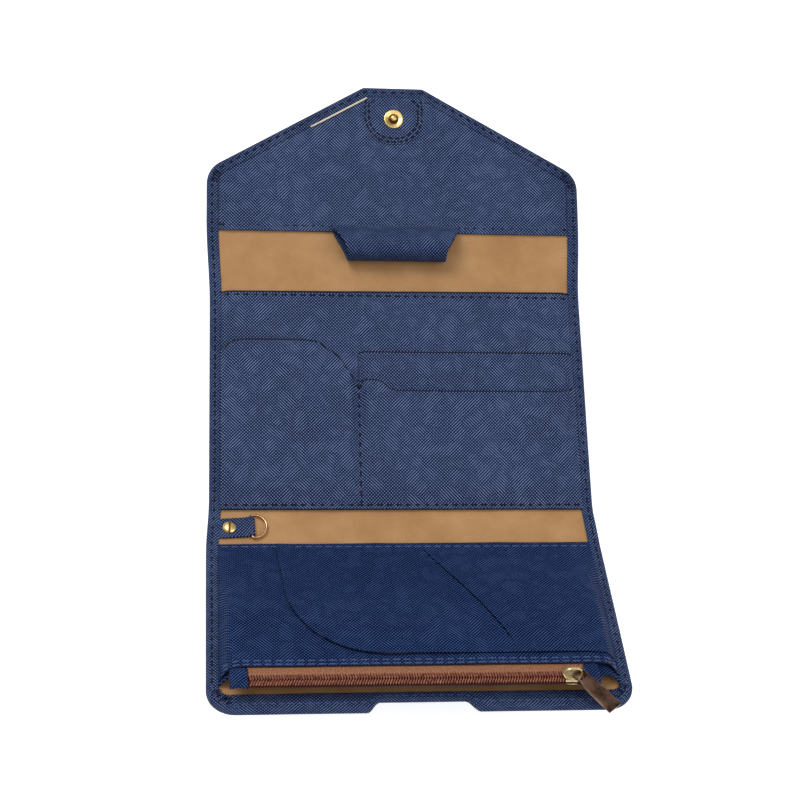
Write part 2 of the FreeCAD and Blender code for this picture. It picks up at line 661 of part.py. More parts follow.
def ring_tab():
    """Folded strip with the ring's bar held in its end."""
    body = new_body("ring_tab")
    half = "tab_wide / 2"
    outer = f"({EYE_RADIUS} + eye_wall)"
    pad(body, "XY", rectangle("0", TAB_LONG, f"-{half}", half), "tab_thick", LINING_TOP)
    tab = doc.addObject("Part::Cylinder", "tab_eye_outside")
    bind(tab, Radius=outer, Height="tab_wide")
    hole = doc.addObject("Part::Cylinder", "tab_eye_bore")
    bind(hole, Radius=EYE_RADIUS, Height="tab_wide + 2")
    screw_hole = doc.addObject("Part::Cylinder", "tab_screw_hole")
    bind(screw_hole, Radius="post_radius + 0.05", Height="10")
    upright = FreeCAD.Rotation(FreeCAD.Vector(1, 0, 0), 90)
    reach = value(TAB_LONG)
    middle = value(EYE_MIDDLE)
    half_wide = value(half)
    tab.Placement = FreeCAD.Placement(FreeCAD.Vector(reach, half_wide, middle), upright)
    hole.Placement = FreeCAD.Placement(FreeCAD.Vector(reach, half_wide + 1, middle), upright)
    screw_hole.Placement = FreeCAD.Placement(FreeCAD.Vector(screw_reach(), 0, 0), FreeCAD.Rotation())
    strip = doc.addObject("Part::MultiFuse", "tab_strip")
    strip.Shapes = [body, tab]
    holes = doc.addObject("Part::MultiFuse", "tab_holes")
    holes.Shapes = [hole, screw_hole]
    cut = doc.addObject("Part::Cut", "ring_tab")
    cut.Base = strip
    cut.Tool = holes
    doc.recompute()
    return keep(cut, "ring_tab", LOWER_SPINE, tab_frame())


def screw_reach():
    return value("ring_tab_start - screw_place")


def screw_frame():
    shift = FreeCAD.Placement(FreeCAD.Vector(screw_reach(), 0, 0), FreeCAD.Rotation())
    return tab_frame().multiply(shift)


def tab_screw():
    """Slotted screw head with its shank inside the post."""
    body = new_body("tab_screw")
    head = f"({LINING_TOP} + tab_thick)"
    outline = [
        ("0", f"{head} - 1.3"), ("screw_radius", f"{head} - 1.3"), ("screw_radius", head),
        ("head_radius", head), ("head_radius", f"{head} + 0.4"), ("head_radius * 0.8", f"{head} + 0.8"),
        ("head_radius * 0.4", f"{head} + 1.0"), ("0", f"{head} + 1.05"),
    ]
    revolve(body, outline)
    slot = rectangle("-0.3", "0.3", "-head_radius - 1", "head_radius + 1")
    pocket(body, "XY", slot, "2", f"{head} + 0.55")
    return keep(body, "tab_screw", LOWER_SPINE, screw_frame())


def tab_screw_post():
    """Barrel with a wide foot that holds the screw from inside the spine."""
    body = new_body("tab_screw_post")
    top = f"({LINING_TOP} + tab_thick - 0.05)"
    outline = [
        ("0", "cover_thick"), ("head_radius", "cover_thick"), ("head_radius", "cover_thick + 0.4"),
        ("post_radius", "cover_thick + 0.4"), ("post_radius", top), ("screw_radius + 0.02", top),
        ("screw_radius + 0.02", f"{top} - 1.4"), ("0", f"{top} - 1.4"),
    ]
    revolve(body, outline)
    return keep(body, "tab_screw_post", LOWER_SPINE, screw_frame())


def d_ring():
    """Wire ring, straight where it turns in the tab and half round where things clip on."""
    level = value(EYE_MIDDLE)
    half = value("tab_wide / 2 + wire_radius + 0.2")
    bend = value("ring_bend")
    diagonal = bend * (1 - math.sqrt(0.5))

    def point(x, y):
        return FreeCAD.Vector(x, y, level)

    bar = Part.LineSegment(point(0, bend - half), point(0, half - bend))
    upper_bend = Part.Arc(point(0, half - bend), point(diagonal, half - diagonal), point(bend, half))
    bow = Part.Arc(point(bend, half), point(bend + half, 0), point(bend, -half))
    lower_bend = Part.Arc(point(bend, -half), point(diagonal, diagonal - half), point(0, bend - half))
    path = Part.Wire([edge.toShape() for edge in (bar, upper_bend, bow, lower_bend)])
    circle = Part.Circle(point(0, bend - half), FreeCAD.Vector(0, 1, 0), value("wire_radius"))
    ring = doc.addObject("Part::Feature", "d_ring")
    ring.Shape = path.makePipe(Part.Face(Part.Wire([circle.toShape()])))
    reach = FreeCAD.Placement(FreeCAD.Vector(value(TAB_LONG), 0, 0), FreeCAD.Rotation())
    return keep(ring, "d_ring", LOWER_SPINE, tab_frame().multiply(reach))


# ---- Snap fastener ---------------------------------------------------------------------------

def snap_frame():
    return FreeCAD.Placement(FreeCAD.Vector(0, value(SNAP_REACH), 0), FreeCAD.Rotation())


def snap_hole():
    return hole_tool(snap_frame(), "rivet_radius + rivet_play")


def snap_patch():
    """Round-ended reinforcement under the snap, sewn to the flap's inner panel."""
    body = new_body("snap_patch")
    top = "(flap_length - hem_width - 0.6)"
    low = f"({SNAP_REACH} - patch_deep / 2)"
    outline = rectangle("-patch_half", "patch_half", low, top)
    pad(body, "XY", outline, "sheet_thick", PATCH_LOW)
    round_corners(body, "patch_half - 1.5", [("-patch_half", low), ("patch_half", low)])
    lean = "tan(flap_angle * 1deg)"
    tip_half = f"({HALF} - (flap_length - flap_side) / {lean})"
    side = f"({top} - (patch_half - {tip_half} + 2.8) * {lean})"
    for sign in ("-", ""):
        corner = [(f"{sign}(patch_half + 1)", side), (f"{sign}({tip_half} - 2.8)", f"{top} + 0.01"),
                  (f"{sign}(patch_half + 1)", f"{top} + 1")]
        pocket(body, "XY", corner, "3", f"{PATCH_LOW} - 1")
    less("snap_patch", body, [snap_hole()], FLAP)


def snap_stud():
    """Dish with a post that presses into the socket when the flap is closed."""
    body = new_body("snap_stud")
    outline = [
        ("0", PATCH_TOP), ("stud_dish", PATCH_TOP), ("stud_dish", f"{PATCH_TOP} + 0.45"),
        ("stud_dish - 0.6", f"{PATCH_TOP} + 0.6"), ("stud_post + 0.5", f"{PATCH_TOP} + 0.3"),
        ("stud_post", f"{PATCH_TOP} + 0.5"), ("stud_post", f"{PATCH_TOP} + 1.7"),
        ("stud_post * 0.6", f"{PATCH_TOP} + 2.0"), ("0", f"{PATCH_TOP} + 2.05"),
    ]
    revolve(body, outline)
    return keep(body, "snap_stud", FLAP, snap_frame())


def snap_cap():
    """Domed cap on the flap's outer face, with its rivet through the layers."""
    body = new_body("snap_cap")
    outline = [
        ("0", "-1.2"), ("cap_radius * 0.55", "-1.1"), ("cap_radius * 0.9", "-0.75"),
        ("cap_radius", "-0.4"), ("cap_radius", "0"), ("rivet_radius", "0"), ("rivet_radius", PATCH_TOP),
        ("0", PATCH_TOP),
    ]
    revolve(body, outline)
    return keep(body, "snap_cap", FLAP, snap_frame())


def socket_reach():
    """Distance of the socket from the front crease, under the stud when both folds are closed."""
    return value(f"lower_crease + upper_crease - {SNAP_REACH}")


def socket_frame():
    return FreeCAD.Placement(FreeCAD.Vector(0, -socket_reach(), 0), FreeCAD.Rotation())


def snap_socket():
    """Ring on the front's outer face that takes the stud's post."""
    body = new_body("snap_socket")
    outline = [
        ("socket_hole", "-socket_tall"), ("socket_radius - 0.8", "-socket_tall"),
        ("socket_radius", "-socket_tall + 0.6"), ("socket_radius", "0"), ("socket_hole", "0"),
    ]
    revolve(body, outline)
    return keep(body, "snap_socket", FRONT, socket_frame())


def snap_socket_post():
    """Rivet that holds the socket, hidden under the front's lining."""
    body = new_body("snap_socket_post")
    outline = [
        ("0", "0.05"), ("socket_rivet", "0.05"), ("socket_rivet", "cover_thick"),
        ("socket_foot", "cover_thick"), ("socket_foot", f"{BOARD_TOP} - 0.05"),
        ("0", f"{BOARD_TOP} - 0.05"),
    ]
    revolve(body, outline)
    return keep(body, "snap_socket_post", FRONT, socket_frame())


# ---- Pen loop --------------------------------------------------------------------------------

def pen_loop():
    """Strip wrapped round a pen, with a flat tail sewn down beside the flap crease."""
    half = value("loop_wide") / 2
    outside = doc.addObject("Part::Cylinder", "loop_outside")
    bind(outside, Radius="loop_bore + loop_wall", Height="loop_wide")
    tail = doc.addObject("Part::Box", "loop_tail")
    bind(tail, Length="loop_wide", Width="spine_high - 1 - loop_middle", Height="2 * loop_wall")
    bore = doc.addObject("Part::Cylinder", "loop_bore")
    bind(bore, Radius="loop_bore", Height="loop_wide + 2")
    centre = value(f"{LINING_TOP} + loop_wall + loop_bore")
    middle = value("loop_middle")
    along = FreeCAD.Rotation(FreeCAD.Vector(0, 1, 0), 90)
    outside.Placement = FreeCAD.Placement(FreeCAD.Vector(-half, middle, centre), along)
    bore.Placement = FreeCAD.Placement(FreeCAD.Vector(-half - 1, middle, centre), along)
    bind_place(tail, "-loop_wide / 2", "loop_middle", LINING_TOP)
    strap = doc.addObject("Part::MultiFuse", "loop_strap")
    strap.Shapes = [outside, tail]
    cut = doc.addObject("Part::Cut", "pen_loop")
    cut.Base = strap
    cut.Tool = bore
    doc.recompute()
    return keep(cut, "pen_loop", UPPER_SPINE)


# ---- Assembly --------------------------------------------------------------------------------

def back_panel():
    strip_cover("cover_back", BACK, "-lower_crease", "upper_crease")
    strip_layer("back_board", BACK, "-lower_crease", "upper_crease", "cover_thick", BOARD_TOP, "1.5")
    strip_layer("lining_back", BACK, "-lower_crease", "upper_crease", BOARD_TOP, LINING_TOP)
    left = "-panel_half"
    ends = [(left, "side_seam"), ("panel_half - side_seam", "side_seam")]
    card_panel("card_backing_panel", 0, left, "panel_half", "back_top", ends)
    divider = ("-divider_place - 0.6", "1.2")
    rear = [("-divider_place", "1.2"), ends[1]]
    card_panel("card_slot_rear", 1, "-divider_place", "panel_half", "slot_rear_top", rear)
    card_panel("card_front_panel", 2, left, "panel_half", "id_top", ends + [divider], cut_front_edge)


def lower_spine():
    strip_cover("cover_spine_lower", LOWER_SPINE, "-spine_low", "0")
    foot_hole = hole_tool(screw_frame(), "head_radius + 0.05")
    post_hole = hole_tool(screw_frame(), "post_radius + 0.05")
    strip_layer("stiffener_lower", LOWER_SPINE, "-spine_low", "0", "cover_thick", BOARD_TOP, "0.8",
                foot_hole)
    strip_layer("lining_spine_lower", LOWER_SPINE, "-spine_low", "0", BOARD_TOP, LINING_TOP,
                "crease_gap", post_hole)
    ring_tab()
    tab_screw()
    tab_screw_post()
    d_ring()


def front_panel():
    cover_front()
    foot_hole = hole_tool(socket_frame(), "socket_foot + foot_play")
    front_layer("front_board", "cover_thick", BOARD_TOP, [foot_hole])
    front_layer("lining_front", BOARD_TOP, LINING_TOP, [])
    zip_pocket_back()
    zip_pocket_front()
    slip_panel()
    zip_parts()
    snap_socket()
    snap_socket_post()
    zip_slider()
    slider_bridge()
    zip_pull()


def upper_spine():
    strip_cover("cover_spine_upper", UPPER_SPINE, "0", "spine_high")
    strip_layer("stiffener_upper", UPPER_SPINE, "0", "spine_high", "cover_thick", BOARD_TOP, "0.8")
    strip_layer("lining_spine_upper", UPPER_SPINE, "0", "spine_high", BOARD_TOP, LINING_TOP)
    pen_loop()


def flap():
    cover_flap()
    flap_board()
    flap_panel()
    snap_patch()
    snap_stud()
    snap_cap()


def save():
    """Check every object and write one STEP file for each sub-part."""
    doc.recompute()
    for item in doc.Objects:
        if "Invalid" in item.State or "Error" in item.State:
            raise RuntimeError(f"{item.Label}: {item.State}")
    os.makedirs("parts", exist_ok=True)
    for item in pieces:
        shape = item.Shape
        if shape.isNull() or not shape.isValid() or shape.Volume <= 0:
            raise RuntimeError(f"{item.Label}: bad shape")
        shape.exportStep(f"parts/{item.Label}.step")
        print(f"{item.Label:22s} {len(shape.Solids)} solid  {shape.Volume:9.1f} mm3")


back_panel()
lower_spine()
front_panel()
upper_spine()
flap()
save()
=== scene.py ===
import bpy
import bmesh
import json
import math
import numpy as np
from mathutils import Matrix, Vector


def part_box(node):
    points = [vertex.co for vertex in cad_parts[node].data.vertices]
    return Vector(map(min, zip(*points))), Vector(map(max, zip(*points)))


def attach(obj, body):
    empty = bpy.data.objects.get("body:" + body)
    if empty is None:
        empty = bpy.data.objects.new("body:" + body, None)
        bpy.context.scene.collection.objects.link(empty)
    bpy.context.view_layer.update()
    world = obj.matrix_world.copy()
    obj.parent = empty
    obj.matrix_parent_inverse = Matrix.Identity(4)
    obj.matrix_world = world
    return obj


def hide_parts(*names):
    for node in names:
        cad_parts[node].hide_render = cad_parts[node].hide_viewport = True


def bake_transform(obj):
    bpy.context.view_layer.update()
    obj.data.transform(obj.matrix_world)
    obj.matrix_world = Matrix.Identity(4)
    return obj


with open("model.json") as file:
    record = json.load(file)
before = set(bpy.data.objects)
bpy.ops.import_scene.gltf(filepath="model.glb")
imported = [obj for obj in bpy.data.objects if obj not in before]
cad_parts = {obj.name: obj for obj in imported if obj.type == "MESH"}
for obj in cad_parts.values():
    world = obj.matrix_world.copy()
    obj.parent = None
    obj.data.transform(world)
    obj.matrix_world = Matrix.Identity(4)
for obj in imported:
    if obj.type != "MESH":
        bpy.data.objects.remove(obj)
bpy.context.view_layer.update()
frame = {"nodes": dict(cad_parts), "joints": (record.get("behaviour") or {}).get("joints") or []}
joints = {joint["name"]: joint for joint in frame["joints"]}
print("frame loaded:", len(frame["nodes"]), "nodes")

# Lengths are millimetres along the opened-out holder: x across, s along it (up to the flap),
# h above the outer face. fold() turns them into metres in the frame.
metre = 0.001
wallet = {
    "halfWidth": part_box("cover_back")[1].x / metre,
    "lowerCrease": joints["lower_fold"]["pos_m"][1] / metre,
    "upperCrease": joints["upper_fold"]["pos_m"][1] / metre,
    "level": joints["lower_fold"]["pos_m"][2] / metre,  # the lining's top, where the creases turn
    "spineLow": 16.6,
    "spineHigh": 23.0,
    "lowTilt": -joints["lower_fold"]["range_deg"][0],
    "highTilt": -joints["upper_fold"]["range_deg"][0],
    "bendHalf": 3.2,  # half the length over which the skin turns at a crease
    "frontLength": 83.0,
    "flapLength": 66.4,
    "flapSide": 28.0,
    "flapAngle": 29.8,
    "cornerRound": 11.0,
    "tipRound": 3.0,
    "middleWide": 0.991,  # soft cover: a little narrower at the middle, wider at both ends
    "frontWide": 1.006,
    "flapWide": 1.01,
}
half = wallet["halfWidth"]
level = wallet["level"]
frontCrease = wallet["lowerCrease"] - wallet["spineLow"]
flapCrease = wallet["upperCrease"] + wallet["spineHigh"]
bottomEdge = frontCrease - wallet["frontLength"]
tipEdge = flapCrease + wallet["flapLength"]
spineSplit = wallet["lowerCrease"] - wallet["spineLow"] / 2
backSplit = 1.5
penSplit = wallet["upperCrease"] + wallet["spineHigh"] / 2


def creaseAt(name, flat, low, high, start, stop):
    place = joints[name]["pos_m"]
    return {"name": name, "flat": flat, "y": place[1] / metre, "z": place[2] / metre, "low": low,
            "high": high, "start": start, "stop": stop}


far = 1000.0
creases = [
    creaseAt("front_fold", frontCrease, -2 * wallet["lowTilt"], -wallet["lowTilt"], -far, spineSplit),
    creaseAt("lower_fold", wallet["lowerCrease"], -wallet["lowTilt"], 0.0, spineSplit, backSplit),
    creaseAt("upper_fold", wallet["upperCrease"], 0.0, wallet["highTilt"], backSplit, penSplit),
    creaseAt("flap_fold", flapCrease, wallet["highTilt"], 2 * wallet["highTilt"], penSplit, far),
]


def ease(t):
    t = np.clip(t, 0, 1)
    return t * t * (3 - 2 * t)


def widthAt(s):
    middle = wallet["middleWide"]
    return (middle + (wallet["frontWide"] - middle) * ease((-42 - s) / 26)
            + (wallet["flapWide"] - middle) * ease((s - 42) / 38))


def fold(points):  # opened-out millimetres to metres in the frame, bent at the creases
    points = np.asarray(points, float)
    x, s, h = points[..., 0], points[..., 1], points[..., 2]
    x = x * widthAt(s)
    y = np.array(s)
    z = np.array(h)
    for crease in creases:
        inside = (s > crease["start"]) & (s <= crease["stop"])
        reach = s - crease["flat"]
        turn = ease((reach + wallet["bendHalf"]) / (2 * wallet["bendHalf"]))
        angle = np.radians(crease["low"] + turn * (crease["high"] - crease["low"]))
        rise = h - level
        y = np.where(inside, crease["y"] + reach * np.cos(angle) - rise * np.sin(angle), y)
        z = np.where(inside, crease["z"] + reach * np.sin(angle) + rise * np.cos(angle), z)
    return np.stack([x, y, z], -1) * metre


def drift(x, s, seed, size, height):  # gentle unevenness, the same on every run
    total = 0
    for k in range(5):
        a = seed * 1.7 + k * 2.4
        along = x * math.cos(a) + s * math.sin(a)
        total = total + np.sin(along * 2 * math.pi / (size * (0.7 + 0.25 * k)) + seed * 3.1 * k)
    return total * height / 2.5


# mesh helpers

def meshObject(name, points, faces, flats, recalc=True):
    mesh = bpy.data.meshes.new(name)
    mesh.from_pydata([tuple(p) for p in points], [], faces)
    flatMap = mesh.uv_layers.new(name="flat")
    order = np.empty(len(mesh.loops), np.int32)
    mesh.loops.foreach_get("vertex_index", order)
    flatMap.data.foreach_set("uv", np.asarray(flats, float)[order].ravel())
    work = bmesh.new()
    work.from_mesh(mesh)
    bmesh.ops.remove_doubles(work, verts=work.verts, dist=2e-6)
    bmesh.ops.dissolve_degenerate(work, dist=1e-7, edges=work.edges)
    if recalc:
        bmesh.ops.recalc_face_normals(work, faces=work.faces)
    work.to_mesh(mesh)
    work.free()
    piece = bpy.data.objects.new(name, mesh)
    bpy.context.scene.collection.objects.link(piece)
    return piece


def gridObject(name, grids, recalc=True, caps=()):  # each grid is (points, uv or None, closed)
    points, flats, faces = [], [], []
    for grid, flat, closed in grids:
        rows, columns = grid.shape[:2]
        base = len(points)
        flat = grid[..., :2] if flat is None else flat
        points.extend(fold(grid).reshape(-1, 3))
        flats.extend((flat * metre).reshape(-1, 2))
        last = columns if closed else columns - 1
        for r in range(rows - 1):
            for c in range(last):
                d = (c + 1) % columns
                faces.append((base + r * columns + c, base + r * columns + d,
                              base + (r + 1) * columns + d, base + (r + 1) * columns + c))
    for loop in caps:
        base = len(points)
        points.extend(fold(loop))
        flats.extend(loop[..., :2] * metre)
        faces.append(tuple(range(base, base + len(loop))))
    return meshObject(name, points, faces, flats, recalc)


def settled(piece):  # modifiers turned into plain mesh
    graph = bpy.context.evaluated_depsgraph_get()
    mesh = bpy.data.meshes.new_from_object(piece.evaluated_get(graph))
    piece.modifiers.clear()
    piece.data = mesh
    return piece


def smoothed(piece, angle=40):
    piece.data.shade_smooth()
    piece.data.set_sharp_from_angle(angle=math.radians(angle))
    return piece


def thickened(piece, thick, rim, steps=2, painted=False):  # thickness downwards and a rounded rim
    wall = piece.modifiers.new("thickness", "SOLIDIFY")
    wall.thickness = thick * metre
    wall.offset = -1
    wall.use_even_offset = True
    if rim:
        edge = piece.modifiers.new("rim", "BEVEL")
        edge.width = rim * metre
        edge.segments = steps
        edge.limit_method = "ANGLE"
        edge.angle_limit = math.radians(55)
        if painted:
            for k in range(2):  # dressed() puts the piece's own material in the first place
                piece.data.materials.append(edgePaintAndShade)
            wall.material_offset_rim = 1
            edge.material = 1
    return settled(piece)


def sheet(name, grid, thick, rim=0.16, steps=2, painted=False, angle=50):
    piece = gridObject(name, [(grid, None, False)], recalc=False)
    return smoothed(thickened(piece, thick, rim, steps, painted), angle)


def rowsGrid(xs, lines):  # rows of the same xs, each with its (s, h)
    return np.array([np.stack([xs, s + 0 * xs, h + 0 * xs], -1) for s, h in lines])


def dressed(piece, material, body=None, crease=None, stands=()):
    if len(piece.data.materials) > 1:
        piece.data.materials[0] = material
    else:
        piece.data.materials.clear()
        piece.data.materials.append(material)
    if stands:
        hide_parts(*stands)
    if body:
        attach(piece, body)
    if crease:
        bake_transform(piece)
    return piece


def spread(low, high, count, *extra):  # even places with some more between
    return np.array(sorted(set(np.linspace(low, high, count).tolist() + list(extra))))


# outline of the opened-out cover, by stations up its left edge

def cornersAt(inset):  # the left edge's three corners, moved inwards
    lean = math.radians(wallet["flapAngle"])
    shoulder = flapCrease + wallet["flapSide"] - inset * (1 - math.sin(lean)) / math.cos(lean)
    rise = wallet["flapLength"] - wallet["flapSide"]
    tipHalf = half - rise / math.tan(lean) - inset * (1 - math.cos(lean)) / math.sin(lean)
    return [Vector((-(half - inset), bottomEdge + inset)), Vector((-(half - inset), shoulder)),
            Vector((-tipHalf, tipEdge - inset))]


def arcPoint(corner, back, ahead, radius, t):
    back = back.normalized()
    ahead = ahead.normalized()
    turn = math.pi - back.angle(ahead)
    start = corner + back * radius * math.tan(turn / 2)
    inward = (back + ahead).normalized()
    centre = corner + inward * radius / math.cos(turn / 2)
    spoke = start - centre
    sign = -1 if back.x * ahead.y - back.y * ahead.x > 0 else 1
    angle = sign * turn * t
    return centre + Vector((spoke.x * math.cos(angle) - spoke.y * math.sin(angle),
                            spoke.x * math.sin(angle) + spoke.y * math.cos(angle)))


def sidePoint(station, inset):
    kind, t = station
    bottom, shoulder, tip = cornersAt(inset)
    radius = max(wallet["cornerRound"] - inset, 0.3)
    tipRadius = max(wallet["tipRound"] - inset, 0.3)
    across = Vector((1, 0))
    if kind == "side":
        return Vector((bottom.x, t))
    if kind == "bottom":
        return arcPoint(bottom, across, Vector((0, 1)), radius, t)
    if kind == "shoulder":
        return arcPoint(shoulder, Vector((0, -1)), tip - shoulder, radius, t)
    if kind == "tip":
        return arcPoint(tip, shoulder - tip, across, tipRadius, t)
    start = arcPoint(shoulder, Vector((0, -1)), tip - shoulder, radius, 1)
    end = arcPoint(tip, shoulder - tip, across, tipRadius, 0)
    return start.lerp(end, t)


def makeStations():
    sideLow = bottomEdge + wallet["cornerRound"]
    lean = math.radians(90 - wallet["flapAngle"])
    sideHigh = flapCrease + wallet["flapSide"] - wallet["cornerRound"] * math.tan(lean / 2)
    places = set(np.linspace(sideLow, sideHigh, 70).round(3).tolist()[1:-1])
    for crease in creases:
        near = crease["flat"] + np.linspace(-5, 5, 15)
        places = {p for p in places if abs(p - crease["flat"]) > 5.4} | set(near.round(3).tolist())
    for split in (spineSplit, backSplit, penSplit):
        places = {p for p in places if abs(p - split) > 0.8} | {split}
    found = [("bottom", t) for t in np.linspace(0, 1, 61)]
    found += [("side", s) for s in sorted(places)]
    found += [("shoulder", t) for t in np.linspace(0, 1, 49)]
    found += [("diagonal", t) for t in np.linspace(0, 1, 26)[1:-1]]
    found += [("tip", t) for t in np.linspace(0, 1, 9)]
    return found


stations = makeStations()
hem = {"side": 5.0, "bottom": 8.0, "pleat": 1.0, "bottomPleats": 8, "shoulderPleats": 5,
       "notchDeep": 5.0, "notchHalf": 21.0, "notchInner": 16.0, "stitchInset": 2.3}


def hemWidth(station):
    if station[0] == "bottom":
        return hem["bottom"] + (hem["side"] - hem["bottom"]) * float(ease(station[1]))
    return hem["side"]


def pleatAt(station):  # gathers where the hem goes round a corner
    kind, t = station
    count = {"bottom": hem["bottomPleats"], "shoulder": hem["shoulderPleats"]}.get(kind)
    if not count:
        return 0.0
    fade = math.sin(math.pi * t) ** 0.5 if 0 < t < 1 else 0.0
    return hem["pleat"] * fade * (abs(math.sin(math.pi * count * t)) ** 0.7 - 0.55)


def notchShift(x, s):  # moves the free edge in where the thumb notch is
    ramp = (hem["notchHalf"] - np.abs(x)) / (hem["notchHalf"] - hem["notchInner"])
    near = np.clip(1 - (s - bottomEdge) / hem["bottom"], 0, 1)
    return hem["notchDeep"] * ease(ramp) * near


def lipProfile(width, pleat):  # (inset, height) from the lining's side round the edge to the outer face
    deep = width - 5.0
    top = level + 0.72
    outer = [(width, level + 0.04), (width, top - 0.28), (width - 0.2, top - 0.06), (width - 0.6, top),
             (width - 1.2, top + 0.03), (3.4 + deep * 0.5, top + 0.02), (2.85, top - 0.02), (2.3, top - 0.16),
             (1.75, top - 0.04), (1.0, top - 0.1), (0.4, top - 0.38), (0.05, 2.1), (0.0, 1.2),
             (0.15, 0.55), (0.6, 0.14), (1.3, 0.0), (2.6, 0.0)]
    inner = [(width, level - 0.02), (1.6, level - 0.02), (1.15, 2.1), (1.15, 1.3), (1.5, 1.0), (2.6, 1.0)]
    shaped = []
    for inset, height in outer:
        share = min(max((inset - 0.3) / 2.5, 0), 1) if height > 2.2 else 0
        shaped.append((inset, height + pleat * share))
    return shaped, inner


fractions = np.array(sorted(set(  # places across the holder, closer together at the notch
    np.linspace(0, 1, 33).round(5).tolist()
    + [round(0.5 + side * x / 138, 5) for side in (-1, 1) for x in range(14, 24)])))
rimSlide = [0] * 10 + [0.28, 0.92, 1.8, 1.5, 1.1, 0.6, 0]  # carries the grain round the rim


def crossSection(station):  # closed loop of the cover's skin at one station
    width = hemWidth(station)
    outer, inner = lipProfile(width, pleatAt(station))
    left, heights = [], []
    for inset, height in outer + inner[::-1]:
        left.append(sidePoint(station, inset))
        heights.append(height)
    outward = (sidePoint(station, 0) - sidePoint(station, 1)).normalized()
    slide = [(outward.x * d, outward.y * d) for d in rimSlide]
    blank = [(0.0, 0.0)]
    shifts = slide + blank * (len(fractions) - 2) + [(-a, b) for a, b in slide[::-1]]
    shifts += blank * (2 * len(inner) + len(fractions) - 2)
    count = len(outer)
    face = left[count - 1]
    inside = left[count]
    loop = [(p.x, p.y, h) for p, h in zip(left[:count], heights[:count])]
    loop += [(face.x * (1 - 2 * f), face.y, 0.0) for f in fractions[1:-1]]
    loop += [(-p.x, p.y, h) for p, h in zip(left[:count][::-1], heights[:count][::-1])]
    loop += [(-p.x, p.y, h) for p, h in zip(left[count:][::-1], heights[count:][::-1])]
    loop += [(-inside.x * (1 - 2 * f), inside.y, 1.0) for f in fractions[1:-1]]
    loop += [(p.x, p.y, h) for p, h in zip(left[count:], heights[count:])]
    return np.array([(*point, *shift) for point, shift in zip(loop, shifts)])


def endHem(station):  # the turned hem along the free edge or along the flap's tip
    outer, inner = lipProfile(hemWidth(station), 0.0)
    away = -1 if station == stations[0] else 1
    grid = []
    for (inset, height), slide in zip(inner[::-1] + outer, [0] * len(inner) + rimSlide):
        p = sidePoint(station, inset)
        grid.append([(p.x * (1 - 2 * f), p.y, height, 0.0, away * slide) for f in fractions])
    return np.array(grid)


def acrossRows(points):  # rows of (x, s) from the left edge's points to the right edge
    return np.array([[(p.x * (1 - 2 * f), p.y) for f in fractions] for p in points])


def wrapped(points):  # unevenness and the notch, for everything that belongs to the cover
    points = np.array(points, float)
    x, s = points[..., 0], points[..., 1]
    points[..., 2] += drift(x, s, 1.3, 70, 0.1)
    points[..., 1] += notchShift(x, s)
    return points


def grained(points, closed):  # the last two columns shift the grain
    placed = wrapped(points[..., :3])
    return placed, placed[..., :2] + points[..., 3:], closed


def coverPiece(name, start, stop):
    chosen = [st for st in stations if start - 1e-6 <= sidePoint(st, 0).y <= stop + 1e-6]
    sections = np.array([crossSection(st) for st in chosen])
    grids = [grained(sections, True)]
    caps = []
    if chosen[0] == stations[0]:
        grids.append(grained(endHem(chosen[0]), False))
    else:
        caps.append(wrapped(sections[0][..., :3]))
    if chosen[-1] == stations[-1]:
        grids.append(grained(endHem(chosen[-1]), False))
    else:
        caps.append(wrapped(sections[-1][..., :3]))
    return smoothed(gridObject(name, grids, caps=caps), 50)


# materials

class Recipe:  # a material and short ways to add nodes to it
    def __init__(self, name):
        self.material = bpy.data.materials.new(name)
        self.material.use_nodes = True
        self.nodes = self.material.node_tree.nodes
        self.links = self.material.node_tree.links
        self.shader = self.nodes["Principled BSDF"]

    def add(self, kind, inputs=None, **settings):
        node = self.nodes.new("ShaderNode" + kind)
        for key, value in settings.items():
            setattr(node, key, value)
        for key, value in (inputs or {}).items():
            self.put(node.inputs[key], value)
        return node

    def put(self, socket, value):
        if isinstance(value, bpy.types.NodeSocket):
            self.links.new(value, socket)
        else:
            socket.default_value = value

    def math(self, operation, a, b=0.0):
        return self.add("Math", {0: a, 1: b}, operation=operation).outputs[0]

    def noise(self, vector, size, detail=3.0, rough=0.55):
        return self.add("TexNoise", {"Vector": vector, "Scale": 1 / size, "Detail": detail,
                                     "Roughness": rough}).outputs["Fac"]

    def ramp(self, factor, *stops):
        node = self.add("ValToRGB", {0: factor})
        band = node.color_ramp
        while len(band.elements) < len(stops):
            band.elements.new(0.5)
        for element, (place, colour) in zip(band.elements, stops):
            element.position = place
            element.color = (*colour, 1)
        return node.outputs[0]

    def mix(self, factor, a, b):
        return self.add("Mix", {0: factor, 6: a, 7: b}, data_type="RGBA").outputs[2]

    def plus(self, base, value, share):
        return self.math("ADD", base, self.math("MULTIPLY", value, share))

    def flat(self):
        return self.add("UVMap", uv_map="flat").outputs[0]

    def where(self):
        return self.add("TexCoord").outputs["Object"]

    def bump(self, height, distance, strength=1.0, normal=None):
        node = self.add("Bump", {"Height": height, "Distance": distance, "Strength": strength})
        if normal:
            self.links.new(normal, node.inputs["Normal"])
        return node.outputs[0]

    def finish(self, values):
        for key, value in values.items():
            self.put(self.shader.inputs[key], value)
        return self.material


def linear(red, green, blue):  # screen values 0 to 255
    found = []
    for v in (red, green, blue):
        v = v / 255
        found.append(v / 12.92 if v <= 0.04045 else ((v + 0.055) / 1.055) ** 2.4)
    return tuple(found)


grain = {"pitch": 0.96, "depth": 0.06, "wobble": 0.1, "patch": 9.0}


